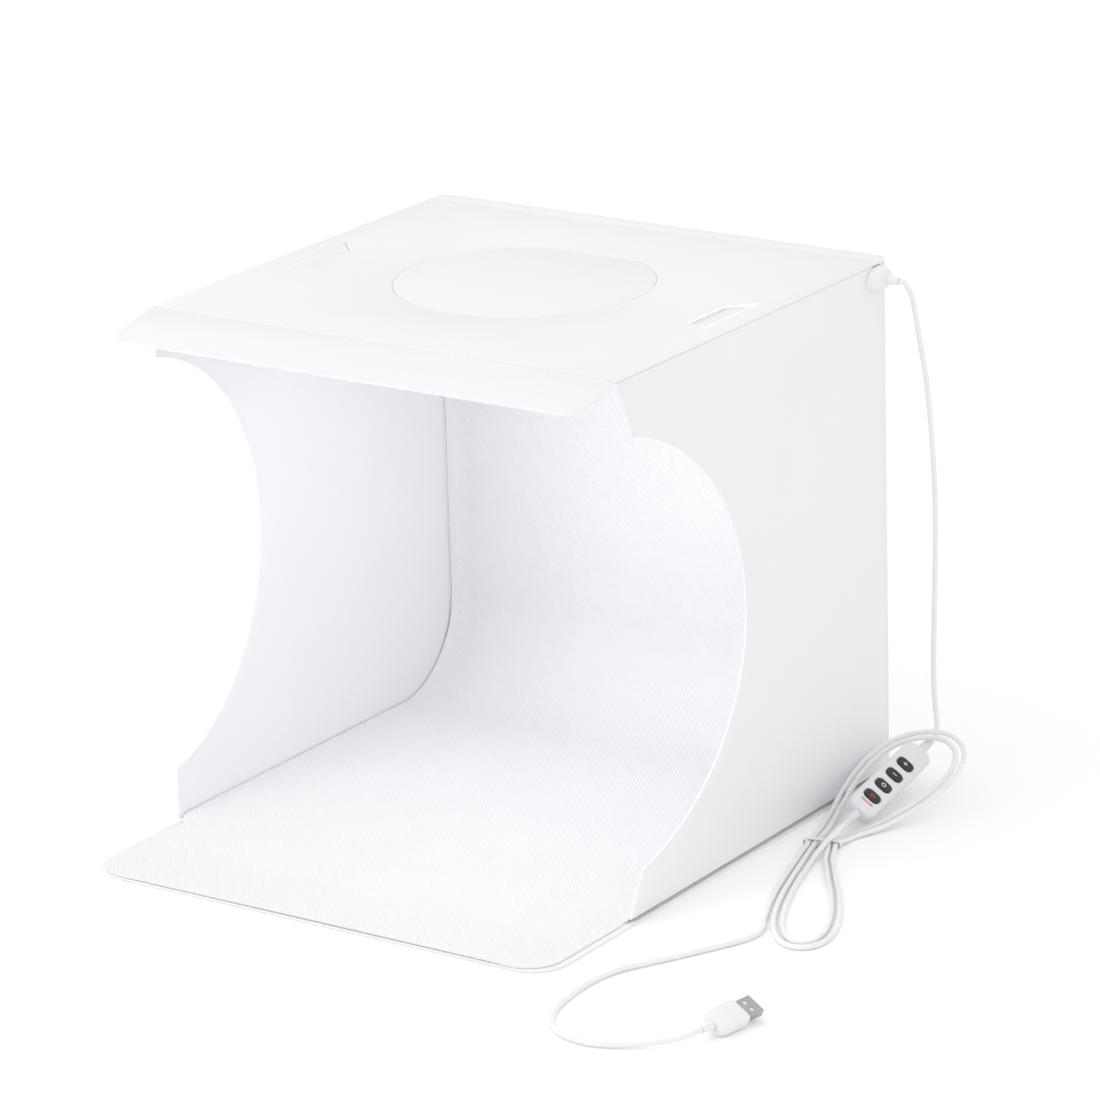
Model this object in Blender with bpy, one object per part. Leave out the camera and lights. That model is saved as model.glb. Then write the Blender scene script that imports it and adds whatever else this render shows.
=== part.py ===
"""Folding light tent cube: creased plastic sheet box, fabric sweep, and a ring lamp with its dimmer lead.

Metres, +Z up. The front faces -Y.
The origin lies on the floor under the middle of the box and its front flap.
"""
import math

import bmesh
import bpy
from mathutils import Matrix, Vector

# Clearances between pieces that touch, and the overrun of every cutter
GAP = 0.0003
CUT_OVERRUN = 0.004

# Fineness of round shapes and curves, and the angle past which an edge stays sharp
SHARP_ANGLE = math.radians(35)
QUARTER_TURN = math.pi / 2
CORNER_STEPS = 5
OUTLET_SEGMENTS = 20
RELIEF_SEGMENTS = 14
NOTCH_STEPS = 8
CURVE_FINE_STEPS = 24
GAP_FINE_STEPS = 6
ROUND_CORNER_STEPS = 4
SHELL_ROUND_STEPS = 3

# Box of creased sheet
BOX_WIDTH = 0.300
BOX_DEPTH = 0.275
BOX_HEIGHT = 0.300
SHEET = 0.0012
CORNER_RADIUS = 0.008
SPINE_WIDTH = 0.012
SPINE_EDGE_ROUND = 0.0008
BASE_MARGIN = 0.0015
PANEL_CORNER_RADIUS = 0.0025
FLANGE_WIDTH_SHARE = 0.1133
FLANGE_FRONT_SETBACK = 0.005
FLANGE_BACK_SETBACK = 0.030
FLANGE_CORNER = 0.006

# Side panels: the leaning front edge, the round cut-out and the outward bow of the free edge
FRONT_LEAN = 0.006
CUT_RADIUS = 0.122
CUT_CENTRE_AHEAD = 0.0204
SIDE_BOW = 0.0121
BOW_PEAK_FROM_CREASE = 0.167
BOW_EARLY_SHARE = 1.5
SIDE_ARC_STEPS = 20
SIDE_COLUMNS = 7

# Front flap and visor
FLAP_LENGTH = 0.082
FLAP_CORNER_STEPS = 6
FLAP_CORNER_RADIUS = 0.020
VISOR_LENGTH = 0.039
VISOR_CORNER_RADIUS = 0.010
VISOR_DROP = math.radians(13.0)

# Camera opening in the top and its round flap, hinged on a straight crease at the back
DISC_RADIUS_SHARE = 0.24
DISC_CREASE_SHARE = 0.22
KERF = 0.0004
DISC_STEPS = 56

# Lock tabs: tongues of the top panel that drop into windows in the side panels' top flanges
TAB_ROOT_INSET = 0.014
TAB_WIDTH = 0.013
TAB_ROOT_LENGTH = 0.054
TAB_FRONT_SLANT = 0.005
TAB_BACK_SLANT = 0.014
TAB_AHEAD_OF_MIDDLE = 0.005
TAB_PRESS = math.radians(8.0)
TAB_WINDOW_CLEARANCE = 0.0012
TAB_ROOT_EASE = 0.0013

# Hook-and-loop pads between the bottom flanges and the base, and tapes that hold the backdrop
PAD_THICKNESS = 0.0007
PAD_WIDTH = 0.020
PAD_FRONT_INSET = 0.040
PAD_BACK_INSET = 0.055
TAPE_LENGTH = 0.044
TAPE_HEIGHT = 0.020
TAPE_FROM_MIDDLE_SHARE = 0.30
TAPE_BELOW_TOP = 0.014
TAPE_CORNER = 0.003

# Backdrop fabric
CLOTH = 0.0008
CLOTH_EDGE_GAP = 0.0025
FRONT_CLOTH_EDGE_GAP = 0.0008
CLOTH_TOP_GAP = 0.008
SWEEP_RADIUS = 0.055
SWEEP_STEPS = 14
FOLD_CLEARANCE = 0.0058
FRONT_CLOTH_SETTLE = 0.040
FRONT_CLOTH_STEPS = 8
FRONT_CLOTH_CORNER_STEPS = 4
FRONT_CLOTH_DROP_GAP = 0.0008

# Ring lamp under the top
RING_SEGMENTS = 48
RING_SETBACK = 0.0020
RING_TAPE_WIDTH = 0.0140
RING_TAPE_THICKNESS = 0.0008
BOARD_WIDTH = 0.0186
BOARD_THICKNESS = 0.0014
LED_COUNT = 40
LED_SIZE = 0.0050
LED_THICKNESS = 0.0010
LED_STRIP_THICKNESS = 0.0003
DIFFUSER_WALL = 0.0011
DIFFUSER_DEPTH = 0.0070
DIFFUSER_CLEARANCE = 0.0006
TERMINAL_LENGTH = 0.010
TERMINAL_WIDTH = 0.009
TERMINAL_HEIGHT = 0.0055
TERMINAL_ANGLE = math.radians(50.0)

# Cord: diameter, outlet in the right side panel, clip under the top
CORD_RADIUS = 0.0015
POINT_SPACING = 0.0060
OUTLET_FROM_BACK = 0.015
OUTLET_BELOW_TOP = 0.0085
NECK_RADIUS = 0.0036
NOTCH_CLEARANCE = 0.0004
OUTLET_BOW_CLEARANCE = 0.0009
INNER_FLANGE_RADIUS = 0.0058
INNER_FLANGE_THICKNESS = 0.0022
OUTER_FLANGE_RADIUS = 0.0064
OUTER_FLANGE_THICKNESS = 0.0016
NOZZLE_LENGTH = 0.0120
NOZZLE_ROOT_RADIUS = 0.0044
NOZZLE_TIP_RADIUS = 0.0025
INNER_LEAD_LENGTH = 0.0145
CLIP_WIDTH = 0.0086
CLIP_LENGTH = 0.0080
CLIP_WALL = 0.0012
CLIP_LEAD_CLEARANCE = 0.0004

# Dimmer controller, lying tilted between its low and high ends
CONTROLLER_LOW = Vector((0.1821, 0.0824, 0.0107))
CONTROLLER_HIGH = Vector((0.1776, 0.1587, 0.0209))
CONTROLLER_ROLL = math.radians(38.0)
CONTROLLER_WIDTH = 0.0174
CONTROLLER_HEIGHT = 0.0095
CONTROLLER_CORNER = 0.0060
CONTROLLER_ROUND = 0.0024
CONTROLLER_WALL = 0.0012
BUTTON_ACROSS = 0.0104
BUTTON_ALONG = 0.0080
BUTTON_CORNER = 0.0032
BUTTON_PROUD = 0.0009
BUTTON_LIP = 0.0007
BUTTON_LIP_THICKNESS = 0.0006
BUTTON_TRAVEL = 0.0008
BUTTON_PITCH = 0.0134
BUTTON_ROW_SHIFT = -0.0043
BUTTON_NAMES = ("power_button", "mode_button", "dimmer_button", "brighter_button")
BOARD_EDGE_CLEARANCE = 0.0010
CONTROLLER_BOARD_THICKNESS = 0.0010
SWITCH_SIZE = 0.0045
RELIEF_LENGTH = 0.0150
RELIEF_ROOT_RADIUS = 0.0030
RELIEF_TIP_RADIUS = 0.0021
RELIEF_RIBS = 4
RELIEF_GROOVE = 0.0005
RELIEF_FIRST_SHARE = 0.7

# Hank: two lobes drawn in at a tie, wound outwards in one flat layer
HANK_TIE = Vector((0.1793, 0.0529))
HANK_LOWER_END = Vector((0.2475, -0.0759))
HANK_UPPER_END = Vector((0.1906, 0.1638))
HANK_START_TURN = 0.042
HANK_TURNS = 2.095
HANK_POINTS_PER_LOBE = 24
HANK_WAIST_PITCH = 0.00375
HANK_LOBE_PITCH = 0.0050
HANK_WAIST = 0.0009
HANK_LOWER_SWELL = 0.0288
HANK_UPPER_SWELL = 0.0530
HANK_FLARE_SHARE = 0.208
HANK_BEND_SHARE = 0.144
HANK_END_SHARE = 0.20
HANK_SLOPE_SHARE = 0.35
HANK_SLOPE_START = 0.026
HANK_SLOPE_EASE = 0.020
TIE_WIDTH = 0.0030
TIE_THICKNESS = 0.0005
TIE_UNDER_GAP = 0.0002
TIE_SIDE_GAP = 0.0016
TIE_RISE_WIDTHS = 4
HANK_ANGLE_STEP = 0.01
HANK_OUTER_TURNS = (0.5, 1, 1.5, 2)
SELF_GAP_RADII = 12
TIE_ROUND_SHARE = 0.999

# Plug
PLUG_BACK = Vector((0.2651, -0.2079, 0.0064))
PLUG_TURN = math.radians(-9.5)
PLUG_ROLL = math.radians(27.0)
PLUG_RELIEF_LENGTH = 0.0076
PLUG_RELIEF_ROOT_RADIUS = 0.0019
PLUG_RELIEF_TIP_RADIUS = 0.0027
OVERMOULD_LENGTH = 0.0206
OVERMOULD_WIDTH = 0.0156
OVERMOULD_HEIGHT = 0.0076
OVERMOULD_CORNER = 0.0022
OVERMOULD_SHOULDER = 0.0024
SHOULDER_KNEE_SHARE = 0.7
PLUG_SHELL_LENGTH = 0.0118
PLUG_SHELL_WIDTH = 0.0120
PLUG_SHELL_HEIGHT = 0.0045
PLUG_SHELL_WALL = 0.00035
PLUG_SHELL_CORNER = 0.0006
PLUG_WINDOW = 0.0023
PLUG_WINDOW_FROM_MIDDLE = 0.0026
PLUG_WINDOW_FROM_TIP = 0.0062
INSULATOR_HEIGHT = 0.0017
CONTACT_WIDTH = 0.0010
CONTACT_THICKNESS = 0.0002
CONTACT_LENGTH = 0.0085
CONTACT_COUNT = 4
CONTACT_PITCH = 0.0022

# Free stretches of the cord, chosen by hand: outlet to controller, hank to plug, and controller to hank
DROP_ROUTE = (
    (0.1688, 0.1639, 0.2896), (0.1706, 0.1652, 0.2855), (0.1710, 0.1676, 0.2790),
    (0.1708, 0.1712, 0.2680), (0.1710, 0.1754, 0.2520), (0.1718, 0.1797, 0.2320),
    (0.1727, 0.1829, 0.2050), (0.1735, 0.1852, 0.1690), (0.1732, 0.1862, 0.1360),
    (0.1722, 0.1864, 0.1000), (0.1712, 0.1870, 0.0720), (0.1710, 0.1872, 0.0530),
    (0.1720, 0.1868, 0.0400), (0.1740, 0.1852, 0.0310), (0.1755, 0.1820, 0.0256),
)
TAIL_ROUTE = (
    (0.2093, -0.0585, 0.0016), (0.2133, -0.0660, 0.0016), (0.2156, -0.0735, 0.0016),
    (0.2152, -0.0820, 0.0016), (0.2112, -0.0925, 0.0016), (0.2048, -0.1055, 0.0016),
    (0.1982, -0.1183, 0.0016), (0.1910, -0.1320, 0.0016), (0.1838, -0.1450, 0.0016),
    (0.1785, -0.1580, 0.0016), (0.1762, -0.1740, 0.0016), (0.1768, -0.1930, 0.0016),
    (0.1806, -0.2130, 0.0016), (0.1884, -0.2285, 0.0016), (0.2010, -0.2385, 0.0016),
    (0.2160, -0.2415, 0.0016), (0.2300, -0.2380, 0.0017), (0.2415, -0.2315, 0.0022),
    (0.2500, -0.2265, 0.0031), (0.2570, -0.2216, 0.0043), (0.2620, -0.2165, 0.0056),
)
LEAD_ROUTE_SHARES = (
    (0.14, 0.235, 0.0), (0.333, 0.433, 0.0), (0.525, 0.604, 0.04),
    (0.70, 0.79, 0.36), (0.857, 0.934, 0.82),
)
LEAD_IN_POINTS = (
    (0.1836, 0.0575, 0.0075), (0.1840, 0.0505, 0.0067), (0.1842, 0.0435, 0.0049),
    (0.1846, 0.0365, 0.0030), (0.1862, 0.0290, 0.0019), (0.1887, 0.0205, 0.0015),
    (0.1913, 0.0125, 0.0015),
)

# Places worked out from the sizes above
HALF_WIDTH = BOX_WIDTH / 2
Y_BACK = (BOX_DEPTH + FLAP_LENGTH) / 2
Y_FRONT = Y_BACK - BOX_DEPTH
Y_MIDDLE = (Y_BACK + Y_FRONT) / 2
DISC_RADIUS = BOX_WIDTH * DISC_RADIUS_SHARE
DISC_CREASE = BOX_WIDTH * DISC_CREASE_SHARE
FLANGE_WIDTH = BOX_WIDTH * FLANGE_WIDTH_SHARE
TAPE_FROM_MIDDLE = BOX_WIDTH * TAPE_FROM_MIDDLE_SHARE
BOARD_INNER_RADIUS = DISC_RADIUS + RING_SETBACK + DIFFUSER_WALL + DIFFUSER_CLEARANCE
BOARD_OUTER_RADIUS = BOARD_INNER_RADIUS + BOARD_WIDTH
RING_MIDDLE_RADIUS = (BOARD_INNER_RADIUS + BOARD_OUTER_RADIUS) / 2
Y_SPINE = Y_BACK - SPINE_WIDTH
Y_CORNER = Y_BACK - CORNER_RADIUS
SIDE_INSIDE = HALF_WIDTH - SHEET
CLOTH_HALF_WIDTH = SIDE_INSIDE - CLOTH_EDGE_GAP
FRONT_CLOTH_HALF_WIDTH = SIDE_INSIDE - FRONT_CLOTH_EDGE_GAP
TOP_UNDERSIDE = BOX_HEIGHT - SHEET
TOP_FLANGE_TOP = TOP_UNDERSIDE - GAP
HOOK_BOTTOM = SHEET + GAP
LOOP_BOTTOM = HOOK_BOTTOM + PAD_THICKNESS + GAP
BOTTOM_FLANGE_BOTTOM = LOOP_BOTTOM + PAD_THICKNESS + GAP
BOTTOM_FLANGE_TOP = BOTTOM_FLANGE_BOTTOM + SHEET
CLOTH_BOTTOM = BOTTOM_FLANGE_TOP + GAP
BACK_INSIDE = Y_BACK - SHEET
TAPE_HOOK_BACK = BACK_INSIDE - GAP
TAPE_LOOP_BACK = TAPE_HOOK_BACK - PAD_THICKNESS - GAP
CLOTH_BACK = TAPE_LOOP_BACK - PAD_THICKNESS - GAP
TAB_MIDDLE_Y = Y_MIDDLE - TAB_AHEAD_OF_MIDDLE
TAB_ROOT_X = HALF_WIDTH - TAB_ROOT_INSET
OUTLET_Y = Y_BACK - OUTLET_FROM_BACK
OUTLET_Z = BOX_HEIGHT - OUTLET_BELOW_TOP


def make_material(name, colour, roughness, metallic=0.0):
    """Principled material with one colour."""
    material = bpy.data.materials.new(name)
    material.use_nodes = True
    shader = material.node_tree.nodes["Principled BSDF"]
    shader.inputs["Base Color"].default_value = (*colour, 1.0)
    shader.inputs["Roughness"].default_value = roughness
    shader.inputs["Metallic"].default_value = metallic
    return material


def place_mesh(name, bm, material, origin=(0, 0, 0), parent=None, smooth=False):
    """Turn a bmesh, drawn relative to its origin, into a named object."""
    bmesh.ops.recalc_face_normals(bm, faces=bm.faces)
    mesh = bpy.data.meshes.new(name)
    bm.to_mesh(mesh)
    bm.free()
    mesh.materials.append(material)
    if smooth:
        mesh.shade_smooth()
        mesh.set_sharp_from_angle(angle=SHARP_ANGLE)
    piece = bpy.data.objects.new(name, mesh)
    bpy.context.scene.collection.objects.link(piece)
    piece.location = origin
    piece.parent = parent
    return piece


def hide_cutter(cutter):
    """Mark an object as a tool that only cuts."""
    cutter.hide_render = True
    cutter.display_type = "WIRE"


def cut(piece, cutter):
    """Take the cutter's shape out of a piece."""
    hide_cutter(cutter)
    modifier = piece.modifiers.new("cut", "BOOLEAN")
    modifier.operation = "DIFFERENCE"
    modifier.object = cutter


def add_loft(bm, loops, closed=False):
    """Skin a row of loops with equal counts; close it on itself, or cap both ends."""
    rings = [[bm.verts.new(point) for point in loop] for loop in loops]
    count = len(rings[0])
    pairs = list(zip(rings, rings[1:]))
    if closed:
        pairs.append((rings[-1], rings[0]))
    for lower, upper in pairs:
        for index in range(count):
            after = (index + 1) % count
            bm.faces.new((lower[index], lower[after], upper[after], upper[index]))
    if not closed:
        bm.faces.new(rings[0])
        bm.faces.new(rings[-1])


def loft(name, loops, material, closed=False, **placing):
    """Object from one loft."""
    bm = bmesh.new()
    add_loft(bm, loops, closed)
    return place_mesh(name, bm, material, **placing)


def circle(radius, level, segments, axis="Z", centre=(0, 0)):
    """Points round a circle, square to an axis, at a level along it."""
    points = []
    for index in range(segments):
        angle = 2 * math.pi * index / segments
        first = centre[0] + radius * math.cos(angle)
        second = centre[1] + radius * math.sin(angle)
        places = {"X": (level, first, second), "Y": (second, level, first), "Z": (first, second, level)}
        points.append(places[axis])
    return points


def rounded_rectangle(half_x, half_y, radius, steps=CORNER_STEPS):
    """Outline of a rectangle with round corners, as (x, y) pairs, counter-clockwise."""
    points = []
    for quarter, (sign_x, sign_y) in enumerate(((1, 1), (-1, 1), (-1, -1), (1, -1))):
        for step in range(steps + 1):
            angle = QUARTER_TURN * (quarter + step / steps)
            points.append((sign_x * (half_x - radius) + radius * math.cos(angle),
                           sign_y * (half_y - radius) + radius * math.sin(angle)))
    return points


def at_level(outline, level):
    """Lift an (x, y) outline to a height."""
    return [(x, y, level) for x, y in outline]


def across_y(outline, level):
    """Stand an (x, z) outline square to Y."""
    return [(x, level, z) for x, z in outline]


def plate(name, rims, top, thickness, material, **placing):
    """Flat plate with its upper face at a height; the first rim is its outline and the others are holes."""
    bm = bmesh.new()
    sheets = []
    for level in (top, top - thickness):
        edges = []
        loops = []
        for rim in rims:
            corners = [bm.verts.new((x, y, level)) for x, y in rim]
            edges += [bm.edges.new((corners[i - 1], corners[i])) for i in range(len(corners))]
            loops.append(corners)
        bmesh.ops.triangle_fill(bm, use_beauty=True, edges=edges)
        sheets.append(loops)
    for upper, lower in zip(*sheets):
        for i in range(len(upper)):
            bm.faces.new((upper[i - 1], upper[i], lower[i], lower[i - 1]))
    return place_mesh(name, bm, material, **placing)


def thick_grid(name, outer, inner, material, **placing):
    """Closed solid between two grids of points that match row for row."""
    bm = bmesh.new()
    rows = len(outer)
    columns = len(outer[0])
    skins = [[[bm.verts.new(point) for point in row] for row in grid] for grid in (outer, inner)]
    for skin in skins:
        for r in range(rows - 1):
            for c in range(columns - 1):
                bm.faces.new((skin[r][c], skin[r][c + 1], skin[r + 1][c + 1], skin[r + 1][c]))
    rim = [(0, c) for c in range(columns)]
    rim += [(r, columns - 1) for r in range(1, rows)]
    rim += [(rows - 1, c) for c in range(columns - 2, -1, -1)]
    rim += [(r, 0) for r in range(rows - 2, 0, -1)]
    for index, (r, c) in enumerate(rim):
        last_r, last_c = rim[index - 1]
        bm.faces.new((skins[0][last_r][last_c], skins[0][r][c], skins[1][r][c], skins[1][last_r][last_c]))
    return place_mesh(name, bm, material, smooth=True, **placing)


def add_block(bm, low, high):
    """Box between two corners."""
    outline = ((low[0], low[1]), (high[0], low[1]), (high[0], high[1]), (low[0], high[1]))
    add_loft(bm, (at_level(outline, low[2]), at_level(outline, high[2])))


def through_points(points, spacing):
    """Smooth curve through hand-chosen points at an even spacing; its first and last steps are straight."""
    points = [Vector(point) for point in points]
    fine = []
    for i in range(1, len(points) - 2):
        before, start, end, after = points[i - 1:i + 3]
        for step in range(CURVE_FINE_STEPS):
            t = step / CURVE_FINE_STEPS
            square = 2 * before - 5 * start + 4 * end - after
            cube = 3 * start - before - 3 * end + after
            fine.append((2 * start + (end - before) * t + square * t * t + cube * t ** 3) / 2)
    fine.append(points[-2])
    lengths = [0]
    for a, b in zip(fine, fine[1:]):
        lengths.append(lengths[-1] + (b - a).length)
    count = max(2, round(lengths[-1] / spacing))
    path = [points[0]]
    index = 0
    for step in range(count + 1):
        target = lengths[-1] * step / count
        while index < len(lengths) - 2 and lengths[index + 1] < target:
            index += 1
        share = (target - lengths[index]) / (lengths[index + 1] - lengths[index])
        path.append(fine[index].lerp(fine[index + 1], min(1, share)))
    path.append(points[-1])
    return path


def tube(name, path, radius, sides_level, material):
    """Cord as a bevelled curve with closed ends."""
    curve = bpy.data.curves.new(name, "CURVE")
    curve.dimensions = "3D"
    curve.bevel_depth = radius
    curve.bevel_resolution = sides_level
    curve.use_fill_caps = True
    spline = curve.splines.new("POLY")
    spline.points.add(len(path) - 1)
    for point, place in zip(spline.points, path):
        point.co = (*place, 1.0)
    curve.materials.append(material)
    piece = bpy.data.objects.new(name, curve)
    bpy.context.scene.collection.objects.link(piece)
    return piece


def path_length(path):
    """Length along a row of points."""
    return sum((Vector(b) - Vector(a)).length for a, b in zip(path, path[1:]))


def mirrored(outline, side):
    """Swap an (x, y) outline to the other side where side is -1."""
    return [(side * x, y) for x, y in outline]


# Box

def build_base(material):
    """Base sheet, from the back to the crease of the front flap."""
    half_depth = BOX_DEPTH / 2
    half_width = HALF_WIDTH + BASE_MARGIN
    corners = rounded_rectangle(half_width, half_depth, PANEL_CORNER_RADIUS, 2)
    outline = [(x, y + Y_MIDDLE) for x, y in corners]
    plate("base_panel", [outline], SHEET, SHEET, material)


def back_section(inset):
    """The back panel's plan: round corners joined by a straight run, drawn in by an inset."""
    points = []
    for side in (-1, 1):
        corner = []
        for step in range(ROUND_CORNER_STEPS + 1):
            angle = QUARTER_TURN * step / ROUND_CORNER_STEPS
            corner.append((side * (HALF_WIDTH - CORNER_RADIUS + (CORNER_RADIUS - inset) * math.cos(angle)),
                           Y_CORNER + (CORNER_RADIUS - inset) * math.sin(angle)))
        points += corner if side < 0 else corner[::-1]
    return points


def build_back(material):
    """Back panel with its two rounded upright corners, and the spine strip that the top hinges on."""
    outer = []
    inner = []
    for level in (SHEET + GAP, TOP_FLANGE_TOP):
        outer.append(at_level(back_section(0), level))
        inner.append(at_level(back_section(SHEET), level))
    thick_grid("back_panel", outer, inner, material)
    corner = [(x, y) for x, y in rounded_rectangle(HALF_WIDTH, SPINE_WIDTH, CORNER_RADIUS) if y > 0]
    outline = [(HALF_WIDTH, Y_SPINE)] + [(x, y + Y_SPINE) for x, y in corner] + [(-HALF_WIDTH, Y_SPINE)]
    spine = plate("top_spine", [outline], BOX_HEIGHT, SHEET, material)
    bevel = spine.modifiers.new("edge round", "BEVEL")
    bevel.width = SPINE_EDGE_ROUND
    bevel.segments = 2
    bevel.limit_method = "ANGLE"


def side_bow(y, z):
    """How far the side panel stands out beyond the flat at a place."""
    height_share = 2 * z / BOX_HEIGHT - 1
    reach = (Y_CORNER - y) / BOW_PEAK_FROM_CREASE
    return SIDE_BOW * (1 - height_share ** 2) * reach * (BOW_EARLY_SHARE - (BOW_EARLY_SHARE - 1) * reach)


def side_front_edge():
    """Rows of the side panel as (z, front y): straight leaning ends and the round cut-out between them."""
    lean_start = CUT_CENTRE_AHEAD + FRONT_LEAN
    half_angle = math.acos(lean_start / CUT_RADIUS)
    rows = [(BOTTOM_FLANGE_BOTTOM, Y_FRONT)]
    for step in range(SIDE_ARC_STEPS + 1):
        angle = half_angle * (2 * step / SIDE_ARC_STEPS - 1)
        rows.append((BOX_HEIGHT / 2 + CUT_RADIUS * math.sin(angle),
                     Y_FRONT - CUT_CENTRE_AHEAD + CUT_RADIUS * math.cos(angle)))
    rows.append((TOP_FLANGE_TOP, Y_FRONT))
    return rows


def build_side(prefix, side, material):
    """Side panel with its cut-out and bow, and the flanges folded in from its top and bottom edges."""
    y_end = Y_CORNER - GAP
    outer = []
    inner = []
    for z, y_start in side_front_edge():
        outer_row = []
        inner_row = []
        for column in range(SIDE_COLUMNS + 1):
            y = y_start + (y_end - y_start) * column / SIDE_COLUMNS
            x = HALF_WIDTH + side_bow(y, z)
            outer_row.append((side * x, y, z))
            inner_row.append((side * (x - SHEET), y, z))
        outer.append(outer_row)
        inner.append(inner_row)
    panel = thick_grid(f"{prefix}_side_panel", outer, inner, material)
    flange_outside = SIDE_INSIDE - GAP
    flange_inside = flange_outside - FLANGE_WIDTH
    y_front = Y_FRONT + FLANGE_FRONT_SETBACK
    y_back = Y_BACK - FLANGE_BACK_SETBACK
    outline = ((flange_outside, y_front), (flange_outside, y_back), (flange_inside, y_back - FLANGE_CORNER),
               (flange_inside, y_front + FLANGE_CORNER))
    plate(f"{prefix}_bottom_flange", [mirrored(outline, side)], BOTTOM_FLANGE_TOP, SHEET, material)
    window = tab_outline(TAB_WINDOW_CLEARANCE)
    window = [(x, y + TAB_MIDDLE_Y) for x, y in window]
    rims = [mirrored(outline, side), mirrored(window, side)]
    plate(f"{prefix}_top_flange", rims, TOP_FLANGE_TOP, SHEET, material)
    return panel


def build_pads(hook, loop):
    """Hook strips on the base, loop strips under the flanges, and two pairs of tapes behind the backdrop."""
    y_low = Y_FRONT + PAD_FRONT_INSET
    y_high = Y_BACK - PAD_BACK_INSET
    z = TOP_UNDERSIDE - TAPE_BELOW_TOP - TAPE_HEIGHT / 2
    for prefix, side in (("left", -1), ("right", 1)):
        centre = (side * (SIDE_INSIDE - GAP - FLANGE_WIDTH / 2), (y_low + y_high) / 2)
        strip = rounded_rectangle(PAD_WIDTH / 2, (y_high - y_low) / 2, TAPE_CORNER, 3)
        strip = [(x + centre[0], y + centre[1]) for x, y in strip]
        plate(f"{prefix}_hook_strip", [strip], HOOK_BOTTOM + PAD_THICKNESS, PAD_THICKNESS, hook)
        plate(f"{prefix}_loop_strip", [strip], LOOP_BOTTOM + PAD_THICKNESS, PAD_THICKNESS, loop)
        tape = rounded_rectangle(TAPE_LENGTH / 2, TAPE_HEIGHT / 2, TAPE_CORNER, 3)
        tape = [(x + side * TAPE_FROM_MIDDLE, dz + z) for x, dz in tape]
        layers = (("hook_tape", TAPE_HOOK_BACK, hook), ("loop_tape", TAPE_LOOP_BACK, loop))
        for name, back, material in layers:
            loft(f"{prefix}_{name}", (across_y(tape, back - PAD_THICKNESS), across_y(tape, back)), material)


# Backdrop

def backdrop_section(inset):
    """The sweep seen from the side, as (y, z): down the back, round the bend and forward along the base."""
    radius = SWEEP_RADIUS - inset
    centre_y = CLOTH_BACK - SWEEP_RADIUS
    centre_z = CLOTH_BOTTOM + SWEEP_RADIUS
    points = [(centre_y + radius, TOP_UNDERSIDE - CLOTH_TOP_GAP)]
    for step in range(SWEEP_STEPS + 1):
        angle = QUARTER_TURN * step / SWEEP_STEPS
        points.append((centre_y + radius * math.cos(angle), centre_z - radius * math.sin(angle)))
    points.append((Y_FRONT + GAP, centre_z - radius))
    return points


def build_backdrop(material):
    """Fabric sweep inside the box."""
    half = CLOTH_HALF_WIDTH
    outer = [[(x, y, z) for x in (-half, half)] for y, z in backdrop_section(0)]
    inner = [[(x, y, z) for x in (-half, half)] for y, z in backdrop_section(CLOTH)]
    thick_grid("backdrop", outer, inner, material)


def build_front_flap(sheet, cloth):
    """Front flap of the base and the fabric on it, both about the crease at the box's front edge."""
    crease = Vector((0, Y_FRONT, SHEET + GAP))
    half_width = HALF_WIDTH + BASE_MARGIN
    corners = rounded_rectangle(half_width, FLAP_LENGTH, FLAP_CORNER_RADIUS, FLAP_CORNER_STEPS)
    outline = [(half_width, -GAP), (-half_width, -GAP)] + [(x, y) for x, y in corners if y < 0]
    plate("front_flap", [outline], -GAP, SHEET, sheet, origin=crease)
    half = FRONT_CLOTH_HALF_WIDTH
    settled = FRONT_CLOTH_DROP_GAP - GAP
    drop = CLOTH_BOTTOM - crease.z - settled
    tip = FLAP_LENGTH - GAP
    outer = []
    inner = []
    for step in range(FRONT_CLOTH_STEPS + 1):
        ahead = FOLD_CLEARANCE + FRONT_CLOTH_SETTLE * step / FRONT_CLOTH_STEPS
        fall = (1 + math.cos(math.pi * ahead / (FOLD_CLEARANCE + FRONT_CLOTH_SETTLE))) / 2
        outer.append([(x, -ahead, settled + drop * fall) for x in (-half, half)])
        inner.append([(x, -ahead, settled + drop * fall + CLOTH) for x in (-half, half)])
    for step in range(FRONT_CLOTH_CORNER_STEPS + 1):
        angle = QUARTER_TURN * step / FRONT_CLOTH_CORNER_STEPS
        ahead = tip - FLAP_CORNER_RADIUS * (1 - math.sin(angle))
        narrowing = FLAP_CORNER_RADIUS * (1 - math.cos(angle))
        outer.append([(x, -ahead, settled) for x in (narrowing - half, half - narrowing)])
        inner.append([(x, -ahead, settled + CLOTH) for x in (narrowing - half, half - narrowing)])
    thick_grid("backdrop_front", outer, inner, cloth, origin=crease)


# Top

def disc_outline(extra):
    """The round flap in the top, about its middle: a circle closed by a straight crease at the back."""
    half_angle = math.asin(DISC_CREASE / 2 / DISC_RADIUS)
    radius = DISC_RADIUS + extra
    start = math.pi / 2 + half_angle
    sweep = 2 * math.pi - 2 * half_angle
    angles = [start + sweep * step / DISC_STEPS for step in range(DISC_STEPS + 1)]
    return [(radius * math.cos(angle), radius * math.sin(angle)) for angle in angles]


def disc_crease_y():
    """How far behind the disc's middle its crease lies."""
    return math.sqrt(DISC_RADIUS ** 2 - (DISC_CREASE / 2) ** 2)


def grown(outline, extra):
    """Push each edge of a counter-clockwise convex outline outwards by a distance."""
    corners = []
    for index, corner in enumerate(outline):
        here = Vector(corner)
        before = (here - Vector(outline[index - 1])).normalized()
        after = (Vector(outline[(index + 1) % len(outline)]) - here).normalized()
        push = Vector((before.y + after.y, -before.x - after.x))
        corners.append(tuple(here + push * extra / (1 + before.dot(after))))
    return corners


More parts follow.
